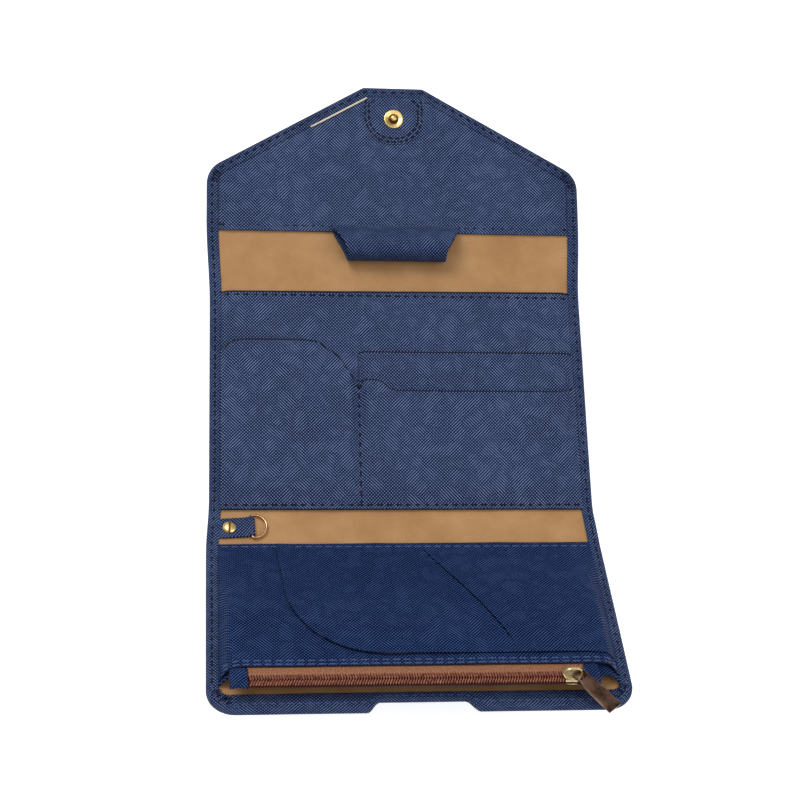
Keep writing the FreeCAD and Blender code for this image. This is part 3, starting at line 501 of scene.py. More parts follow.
def crossGrain(recipe, flat):  # fine raised hatch that leans one way or the other from patch to patch
    shake = recipe.add("TexNoise", {"Vector": flat, "Scale": 600.0, "Detail": 1.0})
    moved = recipe.add("VectorMath", {0: shake.outputs["Color"], 1: (0.5, 0.5, 0.5)}, operation="SUBTRACT")
    scaled = recipe.add("VectorMath", {0: moved.outputs[0], "Scale": grain["wobble"] * metre * 2},
                        operation="SCALE")
    place = recipe.add("VectorMath", {0: flat, 1: scaled.outputs[0]}, operation="ADD").outputs[0]
    parts = recipe.add("SeparateXYZ", {0: place})
    k = 2 * math.pi / (grain["pitch"] * metre * math.sqrt(2))
    rising = recipe.math("ADD", parts.outputs[0], parts.outputs[1])
    falling = recipe.math("SUBTRACT", parts.outputs[0], parts.outputs[1])
    first = recipe.math("SINE", recipe.math("MULTIPLY", rising, k))
    second = recipe.math("SINE", recipe.math("MULTIPLY", falling, k))
    patches = recipe.noise(flat, grain["patch"] * metre, 1.0)
    lean = recipe.add("MapRange", {"Value": patches, "From Min": 0.36, "From Max": 0.62}).outputs[0]
    ribs = recipe.add("Mix", {0: lean, 2: first, 3: second}, data_type="FLOAT").outputs[0]
    cross = recipe.math("MULTIPLY", recipe.math("MULTIPLY", first, second), 0.24)
    return recipe.math("ADD", recipe.math("ADD", recipe.math("MULTIPLY", ribs, 0.46), cross), 0.5)


def navyLeather(name, deep, mid, bright, rough=0.5, depth=1.0, glint=0.05):
    recipe = Recipe(name)
    flat = recipe.flat()
    cells = crossGrain(recipe, flat)
    speck = recipe.noise(flat, 0.0011, 2.0, 0.7)
    cloud = recipe.noise(flat, 0.03, 3.0)
    # colour follows the grain: darker grooves and lighter cells, partly the leather's own tone and partly
    # painted shade in the grooves and painted glints on the cells
    grainToneAndGlint = recipe.plus(recipe.plus(recipe.math("MULTIPLY", cells, 0.72), speck, 0.3), cloud, 0.16)
    colour = recipe.ramp(grainToneAndGlint, (0.4, deep), (0.61, mid), (0.84, bright))
    height = recipe.plus(cells, speck, 0.6)
    fine = recipe.bump(height, grain["depth"] * metre * depth, 0.9)
    waves = recipe.bump(recipe.noise(flat, 0.009, 2.0), 0.0004, 0.25, fine)
    shine = recipe.add("MapRange", {"Value": speck, "To Min": rough - 0.08, "To Max": rough + 0.14})
    return recipe.finish({"Base Color": colour, "Roughness": shine.outputs[0], "Normal": waves,
                          "Specular IOR Level": glint})


def tanLining():
    recipe = Recipe("tan lining")
    flat = recipe.flat()
    cloud = recipe.noise(flat, 0.02, 4.0, 0.6)
    pores = recipe.noise(flat, 0.0007, 2.0, 0.6)
    shade = recipe.plus(recipe.math("MULTIPLY", cloud, 0.75), pores, 0.25)
    colour = recipe.ramp(shade, (0.3, linear(152, 110, 69)), (0.5, linear(166, 125, 82)),
                         (0.7, linear(178, 138, 95)))
    wrinkles = recipe.bump(recipe.noise(flat, 0.006, 3.0), 0.0005, 0.3)
    fine = recipe.bump(pores, 0.00006, 0.5, wrinkles)
    return recipe.finish({"Base Color": colour, "Roughness": 0.6, "Normal": fine,
                          "Specular IOR Level": 0.2})


def wovenTape():
    recipe = Recipe("zip tape weave")
    flat = recipe.flat()
    parts = recipe.add("SeparateXYZ", {0: flat})
    across = recipe.math("SINE", recipe.math("MULTIPLY", parts.outputs[1], 2 * math.pi / 0.00055))
    along = recipe.math("SINE", recipe.math("MULTIPLY", parts.outputs[0], 2 * math.pi / 0.0005))
    weave = recipe.math("MULTIPLY", across, along)
    lint = recipe.noise(flat, 0.0006, 3.0)
    shade = recipe.plus(lint, weave, 0.18)
    colour = recipe.ramp(shade, (0.25, linear(100, 58, 38)), (0.5, linear(142, 96, 68)),
                         (0.78, linear(172, 126, 96)))
    coilShadeMask = recipe.add("MapRange", {"Value": parts.outputs[1], "From Min": (frontCrease - 72.9) * metre,
                                    "From Max": (frontCrease - 72.2) * metre}).outputs[0]
    colour = recipe.mix(coilShadeMask, (*linear(58, 22, 14), 1), colour)  # painted shade on the tape under the coil
    return recipe.finish({"Base Color": colour, "Roughness": 0.8, "Sheen Weight": 0.06,
                          "Specular IOR Level": 0.15,
                          "Normal": recipe.bump(shade, 0.00012, 0.7)})


def coilNylon():
    recipe = Recipe("zip coil nylon")
    where = recipe.where()
    streak = recipe.noise(where, 0.0012, 2.0)
    colour = recipe.ramp(streak, (0.3, linear(96, 38, 22)), (0.7, linear(170, 108, 84)))
    return recipe.finish({"Base Color": colour, "Roughness": 0.34, "Specular IOR Level": 0.4,
                          "Coat Weight": 0.1, "Coat Roughness": 0.25,
                          "Normal": recipe.bump(streak, 0.00005, 0.4)})


def metal(name, dark, light, rough, size=0.004):
    wear = 0.12
    recipe = Recipe(name)
    where = recipe.where()
    cloud = recipe.noise(where, size, 3.0)
    scratches = recipe.add("Mapping", {"Vector": where, "Scale": (1.0, 9.0, 1.0)}).outputs[0]
    lines = recipe.noise(scratches, 0.0012, 2.0)
    colour = recipe.ramp(cloud, (0.32, dark), (0.68, light))
    shine = recipe.add("MapRange", {"Value": lines, "To Min": rough - wear / 2, "To Max": rough + wear})
    return recipe.finish({"Base Color": colour, "Metallic": 1.0, "Roughness": shine.outputs[0],
                          "Normal": recipe.bump(lines, 0.00003, 0.35)})


def threadYarn(name, dark, light, fuzz=0.15):
    recipe = Recipe(name)
    where = recipe.where()
    plies = recipe.add("TexWave", {"Vector": where, "Scale": 900.0, "Distortion": 1.5},
                       bands_direction="DIAGONAL").outputs["Fac"]
    colour = recipe.ramp(plies, (0.2, dark), (0.8, light))
    return recipe.finish({"Base Color": colour, "Roughness": 0.62, "Sheen Weight": fuzz,
                          "Specular IOR Level": 0.2,
                          "Normal": recipe.bump(plies, 0.00004, 0.6)})


def plainBoard(name, dark, light, rough):
    recipe = Recipe(name)
    where = recipe.where()
    fibres = recipe.noise(where, 0.0012, 5.0, 0.7)
    colour = recipe.ramp(fibres, (0.3, dark), (0.7, light))
    return recipe.finish({"Base Color": colour, "Roughness": rough,
                          "Normal": recipe.bump(fibres, 0.0001, 0.5)})


coverNavy = navyLeather("navy cover leather", linear(5, 15, 42), linear(27, 43, 77), linear(90, 106, 144))
panelNavy = navyLeather("navy panel leather", linear(6, 17, 44), linear(31, 48, 83), linear(102, 118, 156))
frontNavy = navyLeather("navy front leather", linear(2, 10, 38), linear(14, 34, 73), linear(60, 79, 120),
                        0.52, 0.8, 0.015)
lining = tanLining()
tape = wovenTape()
nylon = coilNylon()
gold = metal("polished gold metal", linear(206, 172, 104), linear(244, 218, 150), 0.24)
# dark gold, used as painted shade in hollows of the gold parts
shadedGold = metal("tarnished gold metal", linear(62, 34, 14), linear(120, 80, 36), 0.4)
roseGold = metal("rose gold wire", linear(170, 120, 84), linear(222, 178, 140), 0.24, 0.003)
bronze = metal("dark bronze metal", linear(58, 40, 34), linear(128, 100, 84), 0.34, 0.005)
darkThread = threadYarn("dark navy thread", linear(4, 8, 26), linear(14, 22, 48), 0.0)
foldShadow = threadYarn("fold shadow", linear(2, 6, 22), linear(8, 16, 40), 0.0)
# dark paint on the cut edges, and painted shade that marks the pockets' edges
edgePaintAndShade = threadYarn("painted edge", linear(2, 7, 24), linear(8, 16, 40), 0.0)
blueThread = threadYarn("blue thread", linear(34, 51, 92), linear(74, 94, 140))
rawEdge = plainBoard("raw pale edge", linear(196, 184, 160), linear(232, 222, 200), 0.8)
boardGrey = plainBoard("stiff board", linear(150, 140, 122), linear(188, 178, 160), 0.85)
feltWhite = plainBoard("felt stiffener", linear(206, 204, 198), linear(230, 228, 222), 0.95)
print("materials made")

# cover and lining


def boardSheet():  # the front's board, set back from the thumb notch
    points = [sidePoint(station, 2.0) for station in stations]
    flat = acrossRows([p for p in points if p.y <= frontCrease - 1.6])
    x, s = flat[..., 0], flat[..., 1]
    grid = np.stack([x, s + (0.5 + notchShift(x, s)), 1.74 + 0 * x], -1)
    return thickened(gridObject("front_board_sheet", [(grid, None, False)], recalc=False), 0.66, 0)


dressed(boardSheet(), boardGrey, body="front", stands=["front_board"])
for name, start, stop, crease, nodes in (
        ("cover_front_skin", -far, spineSplit, "front_fold", ["cover_front"]),
        ("cover_lower_skin", spineSplit, backSplit, "lower_fold", ["cover_spine_lower"]),
        ("cover_upper_skin", backSplit, penSplit, "upper_fold", ["cover_back", "cover_spine_upper"]),
        ("cover_flap_skin", penSplit, far, "flap_fold", ["cover_flap"])):
    dressed(coverPiece(name, start, stop), coverNavy, crease=crease, stands=nodes)
print("cover made")


def liningPiece(name, start, stop):
    points = [sidePoint(station, 4.3) for station in stations]
    flat = acrossRows([p for p in points if start - 1e-6 <= p.y <= stop + 1e-6])
    x, s = flat[..., 0], flat[..., 1]
    height = level - 0.03 + drift(x, s, 1.3, 70, 0.1) + drift(x, s, 4.1, 17, 0.05)
    for crease in creases:
        near = np.exp(-((s - crease["flat"]) / 2.2) ** 2)
        height = height - 0.16 * near + 0.05 * near * np.sin(x / 3.7 + np.sin(x / 9.0))
    return sheet(name, np.stack([x, s + notchShift(x, s), height], -1), 0.55, 0, angle=40)


for name, start, stop, crease, node in (
        ("lining_front_sheet", -far, spineSplit, "front_fold", "lining_front"),
        ("lining_lower_sheet", spineSplit, backSplit, "lower_fold", "lining_spine_lower"),
        ("lining_upper_sheet", backSplit, penSplit, "upper_fold", "lining_back"),
        ("lining_pen_sheet", penSplit, flapCrease + 8, "flap_fold", "lining_spine_upper")):
    dressed(liningPiece(name, start, stop), lining, crease=crease, stands=[node])
print("lining made")

# card pockets of the back

pockets = {"half": 75.3, "low": -48.0, "top": 47.7, "rearTop": 20.0, "divider": -17.5, "thick": 0.55,
           "ramp": 9.0}
# free edge of the front panel: raised pocket at the left, card slot at the right
frontEdge = [(-75.3, 20.2), (-72.4, 22.6), (-69.5, 24.0), (-66.0, 24.5), (-50.0, 24.5), (-38.5, 24.4),
             (-34.5, 23.6), (-30.5, 20.6), (-26.0, 17.2), (-23.4, 13.6), (-21.2, 9.6), (-19.0, 7.4),
             (-15.5, 7.1), (-10.0, 7.0), (-7.4, 6.0), (-5.0, 3.2), (-2.0, 2.3), (20.0, 2.2), (60.0, 2.3),
             (71.0, 2.5), (73.4, 3.6), (75.3, 5.4)]


def edgeLine(x, corners):  # smooth line through the corners
    xs = np.array([c[0] for c in corners])
    ys = np.array([c[1] for c in corners])
    fine = np.linspace(xs[0], xs[-1], 900)
    rough = np.interp(fine, xs, ys)
    window = np.hanning(21)
    padded = np.pad(rough, 10, mode="edge")
    return np.interp(x, fine, np.convolve(padded, window / window.sum(), mode="valid"))


def pocketHeight(layer, x, s, top, seams, slack):  # top face of a sewn-down pocket layer
    seam = level + (layer + 1) * 0.5
    flatRise = level + layer * 1.0 + 1.0
    lift = ease((s - pockets["low"] - 1.5) / pockets["ramp"])
    side = np.ones_like(x)
    for place, reach in seams:
        side = side * ease(np.abs(x - place) / reach)
    loose = ease((s - (top - 26)) / 26) * slack
    return seam + (flatRise - seam) * lift * (0.25 + 0.75 * side) + loose * side * lift


def pocketSheet(name, layer, left, right, topOf, seams, slack, extra=()):
    xs = spread(left, right, 110, *extra)
    shares = spread(0, 1, 46, 0.991, 0.02, 0.06, 0.1, 0.14)
    top = topOf(xs)
    lines = []
    for share in shares:
        s = pockets["low"] + (top - pockets["low"]) * share
        uneven = drift(xs, s, 2.2 + layer, 31, 0.07) + drift(xs, s, 5.0 + layer, 13, 0.035)
        lines.append((s, pocketHeight(layer, xs, s, top, seams, slack) + uneven))
    piece = gridObject(name, [(rowsGrid(xs, lines), None, False)], recalc=False)
    for face in piece.data.polygons[-(len(xs) - 1):]:  # dark band along the free edge: edge paint, and painted shade that marks the edge
        face.material_index = 1
    return smoothed(thickened(piece, pockets["thick"], 0.24, 2, True), 50)


ends = [(-pockets["half"], 4.0), (pockets["half"], 4.0)]
dressed(pocketSheet("card_backing", 0, -pockets["half"], pockets["half"],
                    lambda x: pockets["top"] + 0.0074 * x, ends, 0.9),
        panelNavy, body="back", stands=["card_backing_panel"])
dressed(pocketSheet("rear_card_slot", 1, pockets["divider"], pockets["half"],
                    lambda x: np.full_like(x, pockets["rearTop"]), [(pockets["divider"], 3.0), ends[1]], 1.4),
        panelNavy, body="back", stands=["card_slot_rear"])
dressed(pocketSheet("front_card_pockets", 2, -pockets["half"], pockets["half"],
                    lambda x: edgeLine(x, frontEdge), ends + [(pockets["divider"], 4.0)], 1.9,
                    np.linspace(-36, -1, 71)),
        panelNavy, body="back", stands=["card_front_panel"])
print("card pockets made")

# zipped pocket of the front; u runs from the crease to the free edge

zipped = {"wallTop": 8.7, "mouthTop": 11.4, "edge": 69.0, "run": 50.0, "wallEnd": 76.6, "sheet": 0.55,
          "tapeTop": 10.4, "coilTop": 12.1, "zipHalf": 64.0,
          "slipLevel": 12.4, "slipRound": 36.0, "slipLeft": -50.0, "slipEnd": 64.0}


def frontGrid(xs, us, heightOf):
    return rowsGrid(xs, [(frontCrease - u, heightOf(xs, np.full_like(xs, float(u)))) for u in us])


def swell(u, x, low, high, run):  # a bellied sheet, sewn down beside the crease and at both sides
    rise = ease((u - 0.5) / run) ** 0.8
    pinch = np.where(x < 0, 4.6, 6.0)
    side = ease((pockets["half"] - np.abs(x)) / pinch) ** 0.6
    return low + (high - low) * rise * (0.1 + 0.9 * side)


def mouthEdge(x):  # the front sheet's edge dips a little towards the free edge at its ends
    return zipped["edge"] + 0.8 * ease((np.abs(x) - 64.5) / 9.5)


def zipWall():
    xs = spread(-pockets["half"], pockets["half"], 90)
    shares = spread(0, 1, 44)[::-1]
    low = zipped["wallEnd"] - 5.2 * ease((-xs - 46) / 24) - 4.0 * ease((xs - 60) / 11)  # ends pulled in
    lines = []
    for share in shares:
        u = 0.6 + (low - 0.6) * share
        height = swell(u, xs, level + 0.5, zipped["wallTop"], zipped["run"])
        lines.append((frontCrease - u, height + drift(xs, u, 3.3, 40, 0.12)))
    return sheet("zip_pocket_wall", rowsGrid(xs, lines), zipped["sheet"])


def topEdge(x):  # the sewn edge beside the crease, a little higher at the right
    return 0.1 - 0.4 * (x / pockets["half"] + 1) / 2


def zipFront():
    xs = spread(-pockets["half"], pockets["half"], 130)
    shares = spread(0, 1, 52, 0.985, 0.03, 0.9, 0.935, 0.97)[::-1]
    edge = mouthEdge(xs)
    start = topEdge(xs) - 0.7
    lines = []
    for share in shares:
        u = start + (edge - start) * share
        height = swell(u, xs, level + 1.0, zipped["mouthTop"], zipped["run"])
        height = height + drift(xs, u, 6.1, 34, 0.12) + drift(xs, u, 1.9, 14, 0.05)
        for groove in (0.8, 2.5):
            height = height - 0.12 * np.exp(-((edge - u - groove) / 0.5) ** 2)
        lines.append((frontCrease - u, height))
    return sheet("zip_pocket_face", rowsGrid(xs, lines), zipped["sheet"] + 0.1, 0.22, 2, True)


def slipLeftAt(u):
    radius = zipped["slipRound"]
    centre = zipped["slipEnd"] - radius
    if u <= centre:
        return zipped["slipLeft"] - 2.4 * max(0.0, 1 - u / centre)  # leans out towards the crease
    over = min(u - centre, radius)
    return zipped["slipLeft"] + radius - math.sqrt(max(radius ** 2 - over ** 2, 0))


slit = {"x0": 6.0, "u0": 2.6, "x1": 35.6, "u1": 59.5, "open": 0.55, "lift": 0.7}


def slitAt(u):
    return slit["x0"] + (slit["x1"] - slit["x0"]) * (u - slit["u0"]) / (slit["u1"] - slit["u0"])


def slipHeight(x, u):  # its curved edge curls up a little
    base = swell(u, x, level + 1.5, zipped["slipLevel"], zipped["run"])
    curl = 0.35 * np.exp(-((x - slipLeftAt(u)) / 5.0) ** 2)
    return base + curl + drift(x, u, 8.4, 30, 0.12) + drift(x, u, 2.7, 12, 0.05)


def slipPanel():
    straight = np.linspace(0.6, 40, 40).round(3).tolist()
    curved = [zipped["slipEnd"] - 21.7 * (1 - math.sin(a)) for a in np.linspace(0, math.pi / 2, 34)]
    us = np.array(sorted(set(straight + [slit["u0"], slit["u1"]] + curved)))
    left, right = [], []
    shares = np.linspace(0, 1, 46)
    for u in us[::-1]:
        inSlit = slit["u0"] < u < slit["u1"]
        part = (u - slit["u0"]) / (slit["u1"] - slit["u0"])
        gap = slit["open"] * math.sin(math.pi * part) ** 0.5 if inSlit else 0.0
        lift = slit["lift"] * math.sin(math.pi * part) if inSlit else 0.0
        start, mid = slipLeftAt(u), slitAt(u)
        for rows, low, high, side in ((left, start, mid - gap, 1), (right, mid + gap, pockets["half"], -1)):
            x = low + (high - low) * shares
            drop = 0.8 * ease((u - 52) / 10) * ease((x - 60) / 14)  # the free edge falls at the right end
            drop = drop + (topEdge(x) - 0.6) * max(0.0, 1 - (u - 0.6) / 6)
            height = slipHeight(x, u)
            near = np.exp(-np.abs(x - mid) / 4.0)
            height = height + near * lift * (1 if side > 0 else 0.2)
            rows.append(np.stack([x, frontCrease - u - drop, height], -1))
    piece = gridObject("slip_panel_sheet", [(np.array(left), None, False), (np.array(right), None, False)],
                       recalc=False)
    return smoothed(thickened(piece, 0.6, 0.24, 2, True), 50)


dressed(zipWall(), frontNavy, body="front", stands=["zip_pocket_back"])
dressed(zipFront(), frontNavy, body="front", stands=["zip_pocket_front"])
dressed(slipPanel(), frontNavy, body="front", stands=["slip_panel"])
print("zipped pocket made")


def tapeStrip(name, uLow, uHigh, bow):
    xs = spread(-zipped["zipHalf"] - 1, zipped["zipHalf"] + 1, 120)
    us = np.linspace(uLow, uHigh, 9)[::-1]
    grid = frontGrid(xs, us, lambda x, u: zipped["tapeTop"] + drift(x, u, 7.0, 11, 0.05)
                     + bow * (1 - ((u - (uLow + uHigh) / 2) * 2 / (uHigh - uLow)) ** 2))
    return sheet(name, grid, 0.4, 0.1)


for name, uLow, uHigh, bow, node in (("zip_tape_near_crease", 64.0, 74.8, 0.05, "zip_tape_upper"),
                                     ("zip_tape_near_edge", 75.6, 77.9, 0.03, "zip_tape_lower")):
    dressed(tapeStrip(name, uLow, uHigh, bow), tape, body="front", stands=[node])


def endTab(name, left, right):  # folded leather end of the zip
    xs = spread(left, right, 12)
    us = np.linspace(69.2, 78.6, 12)[::-1]
    middle = (left + right) / 2
    grid = frontGrid(xs, us, lambda x, u: 12.0 - 0.5 * ((x - middle) / 3.4) ** 2 - 0.7 * ((u - 74) / 4.7) ** 2
                     + drift(x, u, 1.1, 6, 0.1))
    return sheet(name, grid, 1.3, 0.35, 3)


for name, left, right, node in (("zip_end_left", -71.6, -64.6, "zip_end_tab_left"),
                                ("zip_end_right", 60.0, 65.8, "zip_end_tab_right")):
    dressed(endTab(name, left, right), frontNavy, body="front", stands=[node])

# flap's inner panel, snap patch and pen loop

flapInner = {"start": 0.8, "inset": 5.15, "top": 3.0, "thick": 0.7}


def flapInnerPanel():
    start = flapCrease + flapInner["start"]
    bottom = [("side", start + d) for d in (0, 0.4, 1.2, 2.4, 3.6, 5.5)]
    chosen = bottom + [st for st in stations if sidePoint(st, flapInner["inset"]).y > start + 7]
    flat = acrossRows([sidePoint(station, flapInner["inset"]) for station in chosen])
    x, s = flat[..., 0], flat[..., 1]
    edge = np.abs(flat[:, :1, 0]) - np.abs(x)
    crown = 0.26 * ease(edge / 5) * ease((tipEdge - flapInner["inset"] - s) / 5)
    height = flapInner["top"] + crown + drift(x, s, 3.8, 42, 0.09) + drift(x, s, 0.6, 15, 0.04)
    height = height - 0.12 * np.exp(-((s - start - 2.4) / 0.6) ** 2)
    return sheet("flap_inner_panel", np.stack([x, s, height], -1), flapInner["thick"], 0.22, 2, True)


dressed(flapInnerPanel(), panelNavy, body="flap", stands=["flap_panel"])

snapPlace = {"s": tipEdge - 14.6, "patchHalf": 13.4, "deep": 11.4, "top": 3.25}


def patchHalfAt(s, inset=0.0):
    low = snapPlace["s"] - snapPlace["deep"] + inset
    bend = snapPlace["patchHalf"] - inset - 1.0
    over = min(max(s - low, 0.0), bend)
    wide = 1.0 + math.sqrt(max(bend ** 2 - (bend - over) ** 2, 0))
    corner = cornersAt(5.0 + inset)[2]
    lean = math.radians(wallet["flapAngle"])
    limit = abs(corner.x) + (corner.y - s) / math.tan(lean)
    return min(wide, max(limit, 1.0))


def snapPatch():
    low = snapPlace["s"] - snapPlace["deep"]
    high = tipEdge - 5.05
    shares = np.array([1 - math.cos(a) for a in np.linspace(0, math.pi / 2, 34)])
    rows = []
    for share in shares:
        s = low + (high - low) * share
        x = np.linspace(-1, 1, 30) * patchHalfAt(s)
        height = snapPlace["top"] + 0.32 + drift(x, s, 3.8, 42, 0.09) + 0 * x
        rows.append(np.stack([x, s + 0 * x, height], -1))
    return sheet("snap_patch_leather", np.array(rows), 0.5, 0.2, 2, True)


dressed(snapPatch(), panelNavy, body="flap", stands=["snap_patch"])


def seamEdge():  # pale raw edge that shows where the hem has lifted on the left
    rows = []
    for station in [st for st in stations if st[0] in ("diagonal", "tip")]:
        if station[0] == "diagonal" and station[1] < 0.6 or station[0] == "tip" and station[1] > 0.3:
            continue
        share = (station[1] - 0.6) / 0.4 if station[0] == "diagonal" else 1.0
        a = sidePoint(station, 5.1 + 0.3 * min(1.0, 4 * share + 0.2))
        b = sidePoint(station, 5.0)
        rows.append([(a.x, a.y, 3.42), ((a.x + b.x) / 2, (a.y + b.y) / 2, 3.56), (b.x, b.y, 3.5)])
    return sheet("lifted_seam_edge", np.array(rows), 0.35, 0, angle=40)


dressed(seamEdge(), rawEdge, body="flap")

penLoop = {"bore": 4.35, "middle": 15.4, "wall": 0.75, "foldHalf": 21.0, "flapHalf": 27.2}


def penStrap():
    middle = wallet["upperCrease"] + penLoop["middle"]
    radius = penLoop["bore"] + penLoop["wall"]
    centre = level + radius + 0.05
    end = flapCrease + 3.4
    path = [(end, level + 0.7), (end - 2.4, level + 0.75), (end - 5, level + 0.8), (middle + 3, level + 0.8)]
    path += [(middle + radius * math.sin(-a), centre - radius * math.cos(a))
             for a in np.linspace(0.1, math.pi * 0.97, 26)]
    top = (middle + 0.6, centre + radius)
    path += [top, (middle + 3.2, centre + radius - 0.55), (middle + 5.6, centre + radius - 2.1),
             (middle + 7.4, centre + radius - 4.1), (end - 2.2, level + 2.0), (end, level + 1.4)]
    path = np.array(path)
    steps = np.concatenate([[0], np.cumsum(np.hypot(*np.diff(path, axis=0).T))])
    wide = np.linspace(-1, 1, 26)
    grid = np.zeros((len(path), len(wide), 3))
    flat = np.zeros((len(path), len(wide), 2))
    for r, (s, h) in enumerate(path):
        flare = ease((s - (middle - radius)) / (end - middle + radius))
        reach = penLoop["foldHalf"] + (penLoop["flapHalf"] - penLoop["foldHalf"]) * flare
        x = wide * reach
        sag = 0.12 * np.cos(wide * 5) * (1 if h > centre else 0)
        grid[r] = np.stack([x, s + 0 * x, h + sag], -1)
        flat[r] = np.stack([x, steps[r] + 0 * x], -1)
    piece = gridObject("pen_loop_strap", [(grid[:, ::-1], flat[:, ::-1], False)], recalc=False)
    return smoothed(thickened(piece, penLoop["wall"], 0.2), 60)


dressed(penStrap(), coverNavy, crease="flap_fold", stands=["pen_loop"])
print("flap and pen loop made")

# stitches: one node tree that lays stitches along guide lines

def socketOf(tree, name):
    return next(item.identifier for item in tree.interface.items_tree if item.name == name)


def nodeIn(tree, kind, links=None, **settings):
    node = tree.nodes.new(kind)
    for key, value in settings.items():
        setattr(node, key, value)
    for key, value in (links or {}).items():
        if isinstance(value, bpy.types.NodeSocket):
            tree.links.new(value, node.inputs[key])
        else:
            node.inputs[key].default_value = value
    return node


def rowTree():  # places copies of one small object along guide lines, standing on the surface
    tree = bpy.data.node_groups.new("row of copies", "GeometryNodeTree")
    tree.interface.new_socket("Geometry", in_out="OUTPUT", socket_type="NodeSocketGeometry")
    for label, kind in (("Geometry", "Geometry"), ("Copy", "Object"), ("Pitch", "Float"), ("Turn", "Float"),
                        ("Size Change", "Float"), ("Material", "Material")):
        tree.interface.new_socket(label, in_out="INPUT", socket_type="NodeSocket" + kind)
    given = nodeIn(tree, "NodeGroupInput").outputs
    up = nodeIn(tree, "GeometryNodeInputNamedAttribute", {"Name": "up"}, data_type="FLOAT_VECTOR")
    line = nodeIn(tree, "GeometryNodeMeshToCurve", {"Mesh": given["Geometry"]})
    even = nodeIn(tree, "GeometryNodeResampleCurve", {"Curve": line.outputs[0], "Length": given["Pitch"]},
                  mode="LENGTH")
    tangent = nodeIn(tree, "GeometryNodeInputTangent")
    along = nodeIn(tree, "FunctionNodeAlignRotationToVector", {"Vector": tangent.outputs[0]}, axis="X")
    stand = nodeIn(tree, "FunctionNodeAlignRotationToVector",
                   {"Rotation": along.outputs[0], "Vector": up.outputs["Attribute"]}, axis="Z",
                   pivot_axis="X")
    twist = nodeIn(tree, "ShaderNodeCombineXYZ", {"Z": given["Turn"]})
    euler = nodeIn(tree, "FunctionNodeEulerToRotation", {0: twist.outputs[0]})
    turned = nodeIn(tree, "FunctionNodeRotateRotation", {0: stand.outputs[0], 1: euler.outputs[0]},
                    rotation_space="LOCAL")
    low = nodeIn(tree, "ShaderNodeMath", {0: 1.0, 1: given["Size Change"]}, operation="SUBTRACT")
    high = nodeIn(tree, "ShaderNodeMath", {0: 1.0, 1: given["Size Change"]}, operation="ADD")
    size = nodeIn(tree, "FunctionNodeRandomValue", {"Seed": 4}, data_type="FLOAT")
    floats = [socket for socket in size.inputs if socket.type == "VALUE" and socket.name in ("Min", "Max")]
    tree.links.new(low.outputs[0], floats[0])
    tree.links.new(high.outputs[0], floats[1])
    change = next(socket for socket in size.outputs if socket.type == "VALUE")
    copy = nodeIn(tree, "GeometryNodeObjectInfo", {"Object": given["Copy"]})
    placed = nodeIn(tree, "GeometryNodeInstanceOnPoints", {
        "Points": even.outputs[0], "Instance": copy.outputs["Geometry"], "Rotation": turned.outputs[0],
        "Scale": change})
    real = nodeIn(tree, "GeometryNodeRealizeInstances", {0: placed.outputs[0]})
    painted = nodeIn(tree, "GeometryNodeSetMaterial", {"Geometry": real.outputs[0],
                                                      "Material": given["Material"]})
    done = nodeIn(tree, "NodeGroupOutput")
    tree.links.new(painted.outputs[0], done.inputs[0])
    return tree


rows = rowTree()


def guideObject(name, lines):  # each line is a list of (x, s, h); "up" is the surface's normal
    points, ups, edges = [], [], []
    for line in lines:
        line = np.array(line, float)
        lower = fold(line)
        raised = fold(line + np.array([0, 0, 0.2]))
        base = len(points)
        points.extend(lower)
        ups.extend((raised - lower) / np.linalg.norm(raised - lower, axis=1)[:, None])
        edges.extend((base + i, base + i + 1) for i in range(len(line) - 1))
    mesh = bpy.data.meshes.new(name)
    mesh.from_pydata([tuple(p) for p in points], edges, [])
    attribute = mesh.attributes.new("up", "FLOAT_VECTOR", "POINT")
    attribute.data.foreach_set("vector", np.array(ups, float).ravel())
    piece = bpy.data.objects.new(name, mesh)
    bpy.context.scene.collection.objects.link(piece)
    return piece


def rowOf(name, lines, copy, material, pitch, turn=0.0, change=0.06):
    piece = guideObject(name, lines)
    modifier = piece.modifiers.new("row", "NODES")
    modifier.node_group = rows
    for label, value in (("Copy", copy), ("Pitch", pitch * metre), ("Turn", turn),
                         ("Size Change", change), ("Material", material)):
        modifier[socketOf(rows, label)] = value
    return smoothed(settled(piece), 60)


def stitched(name, lines, shape, thread, pitch, turn=0.0, change=0.06, body=None, crease=None):
    dressed(rowOf(name, lines, shape, thread, pitch, turn, change), thread, body=body, crease=crease)


def joinRings(work, rings, closed=False):  # skin over rings of one count, capped unless they close
    for one, two in zip(rings, rings[1:] + (rings[:1] if closed else [])):
        for k in range(len(one)):
            m = (k + 1) % len(one)
            work.faces.new((one[k], two[k], two[m], one[m]))
    if not closed:
        work.faces.new(rings[0])
        work.faces.new(list(reversed(rings[-1])))


def capsule(name, long, wide, tall, sides=8, dip=0.0):  # one stitch or tooth, long along X
    work = bmesh.new()
    rings = [(-0.5, 0.12), (-0.46, 0.55), (-0.34, 0.86), (-0.12, 1.0), (0.12, 1.0), (0.34, 0.86),
             (0.46, 0.55), (0.5, 0.12)]
    made = []
    for place, girth in rings:
        ring = []
        for k in range(sides):
            a = 2 * math.pi * k / sides
            lift = dip * (1 - (place * 2) ** 2)
            ring.append(work.verts.new((place * long * metre, math.cos(a) * girth * wide / 2 * metre,
                                        (math.sin(a) * girth * tall / 2 + lift) * metre)))
        made.append(ring)
    joinRings(work, made)
    bmesh.ops.recalc_face_normals(work, faces=work.faces)
    mesh = bpy.data.meshes.new(name)
    work.to_mesh(mesh)
    work.free()
    piece = bpy.data.objects.new(name, mesh)
    bpy.context.scene.collection.objects.link(piece)
    return piece


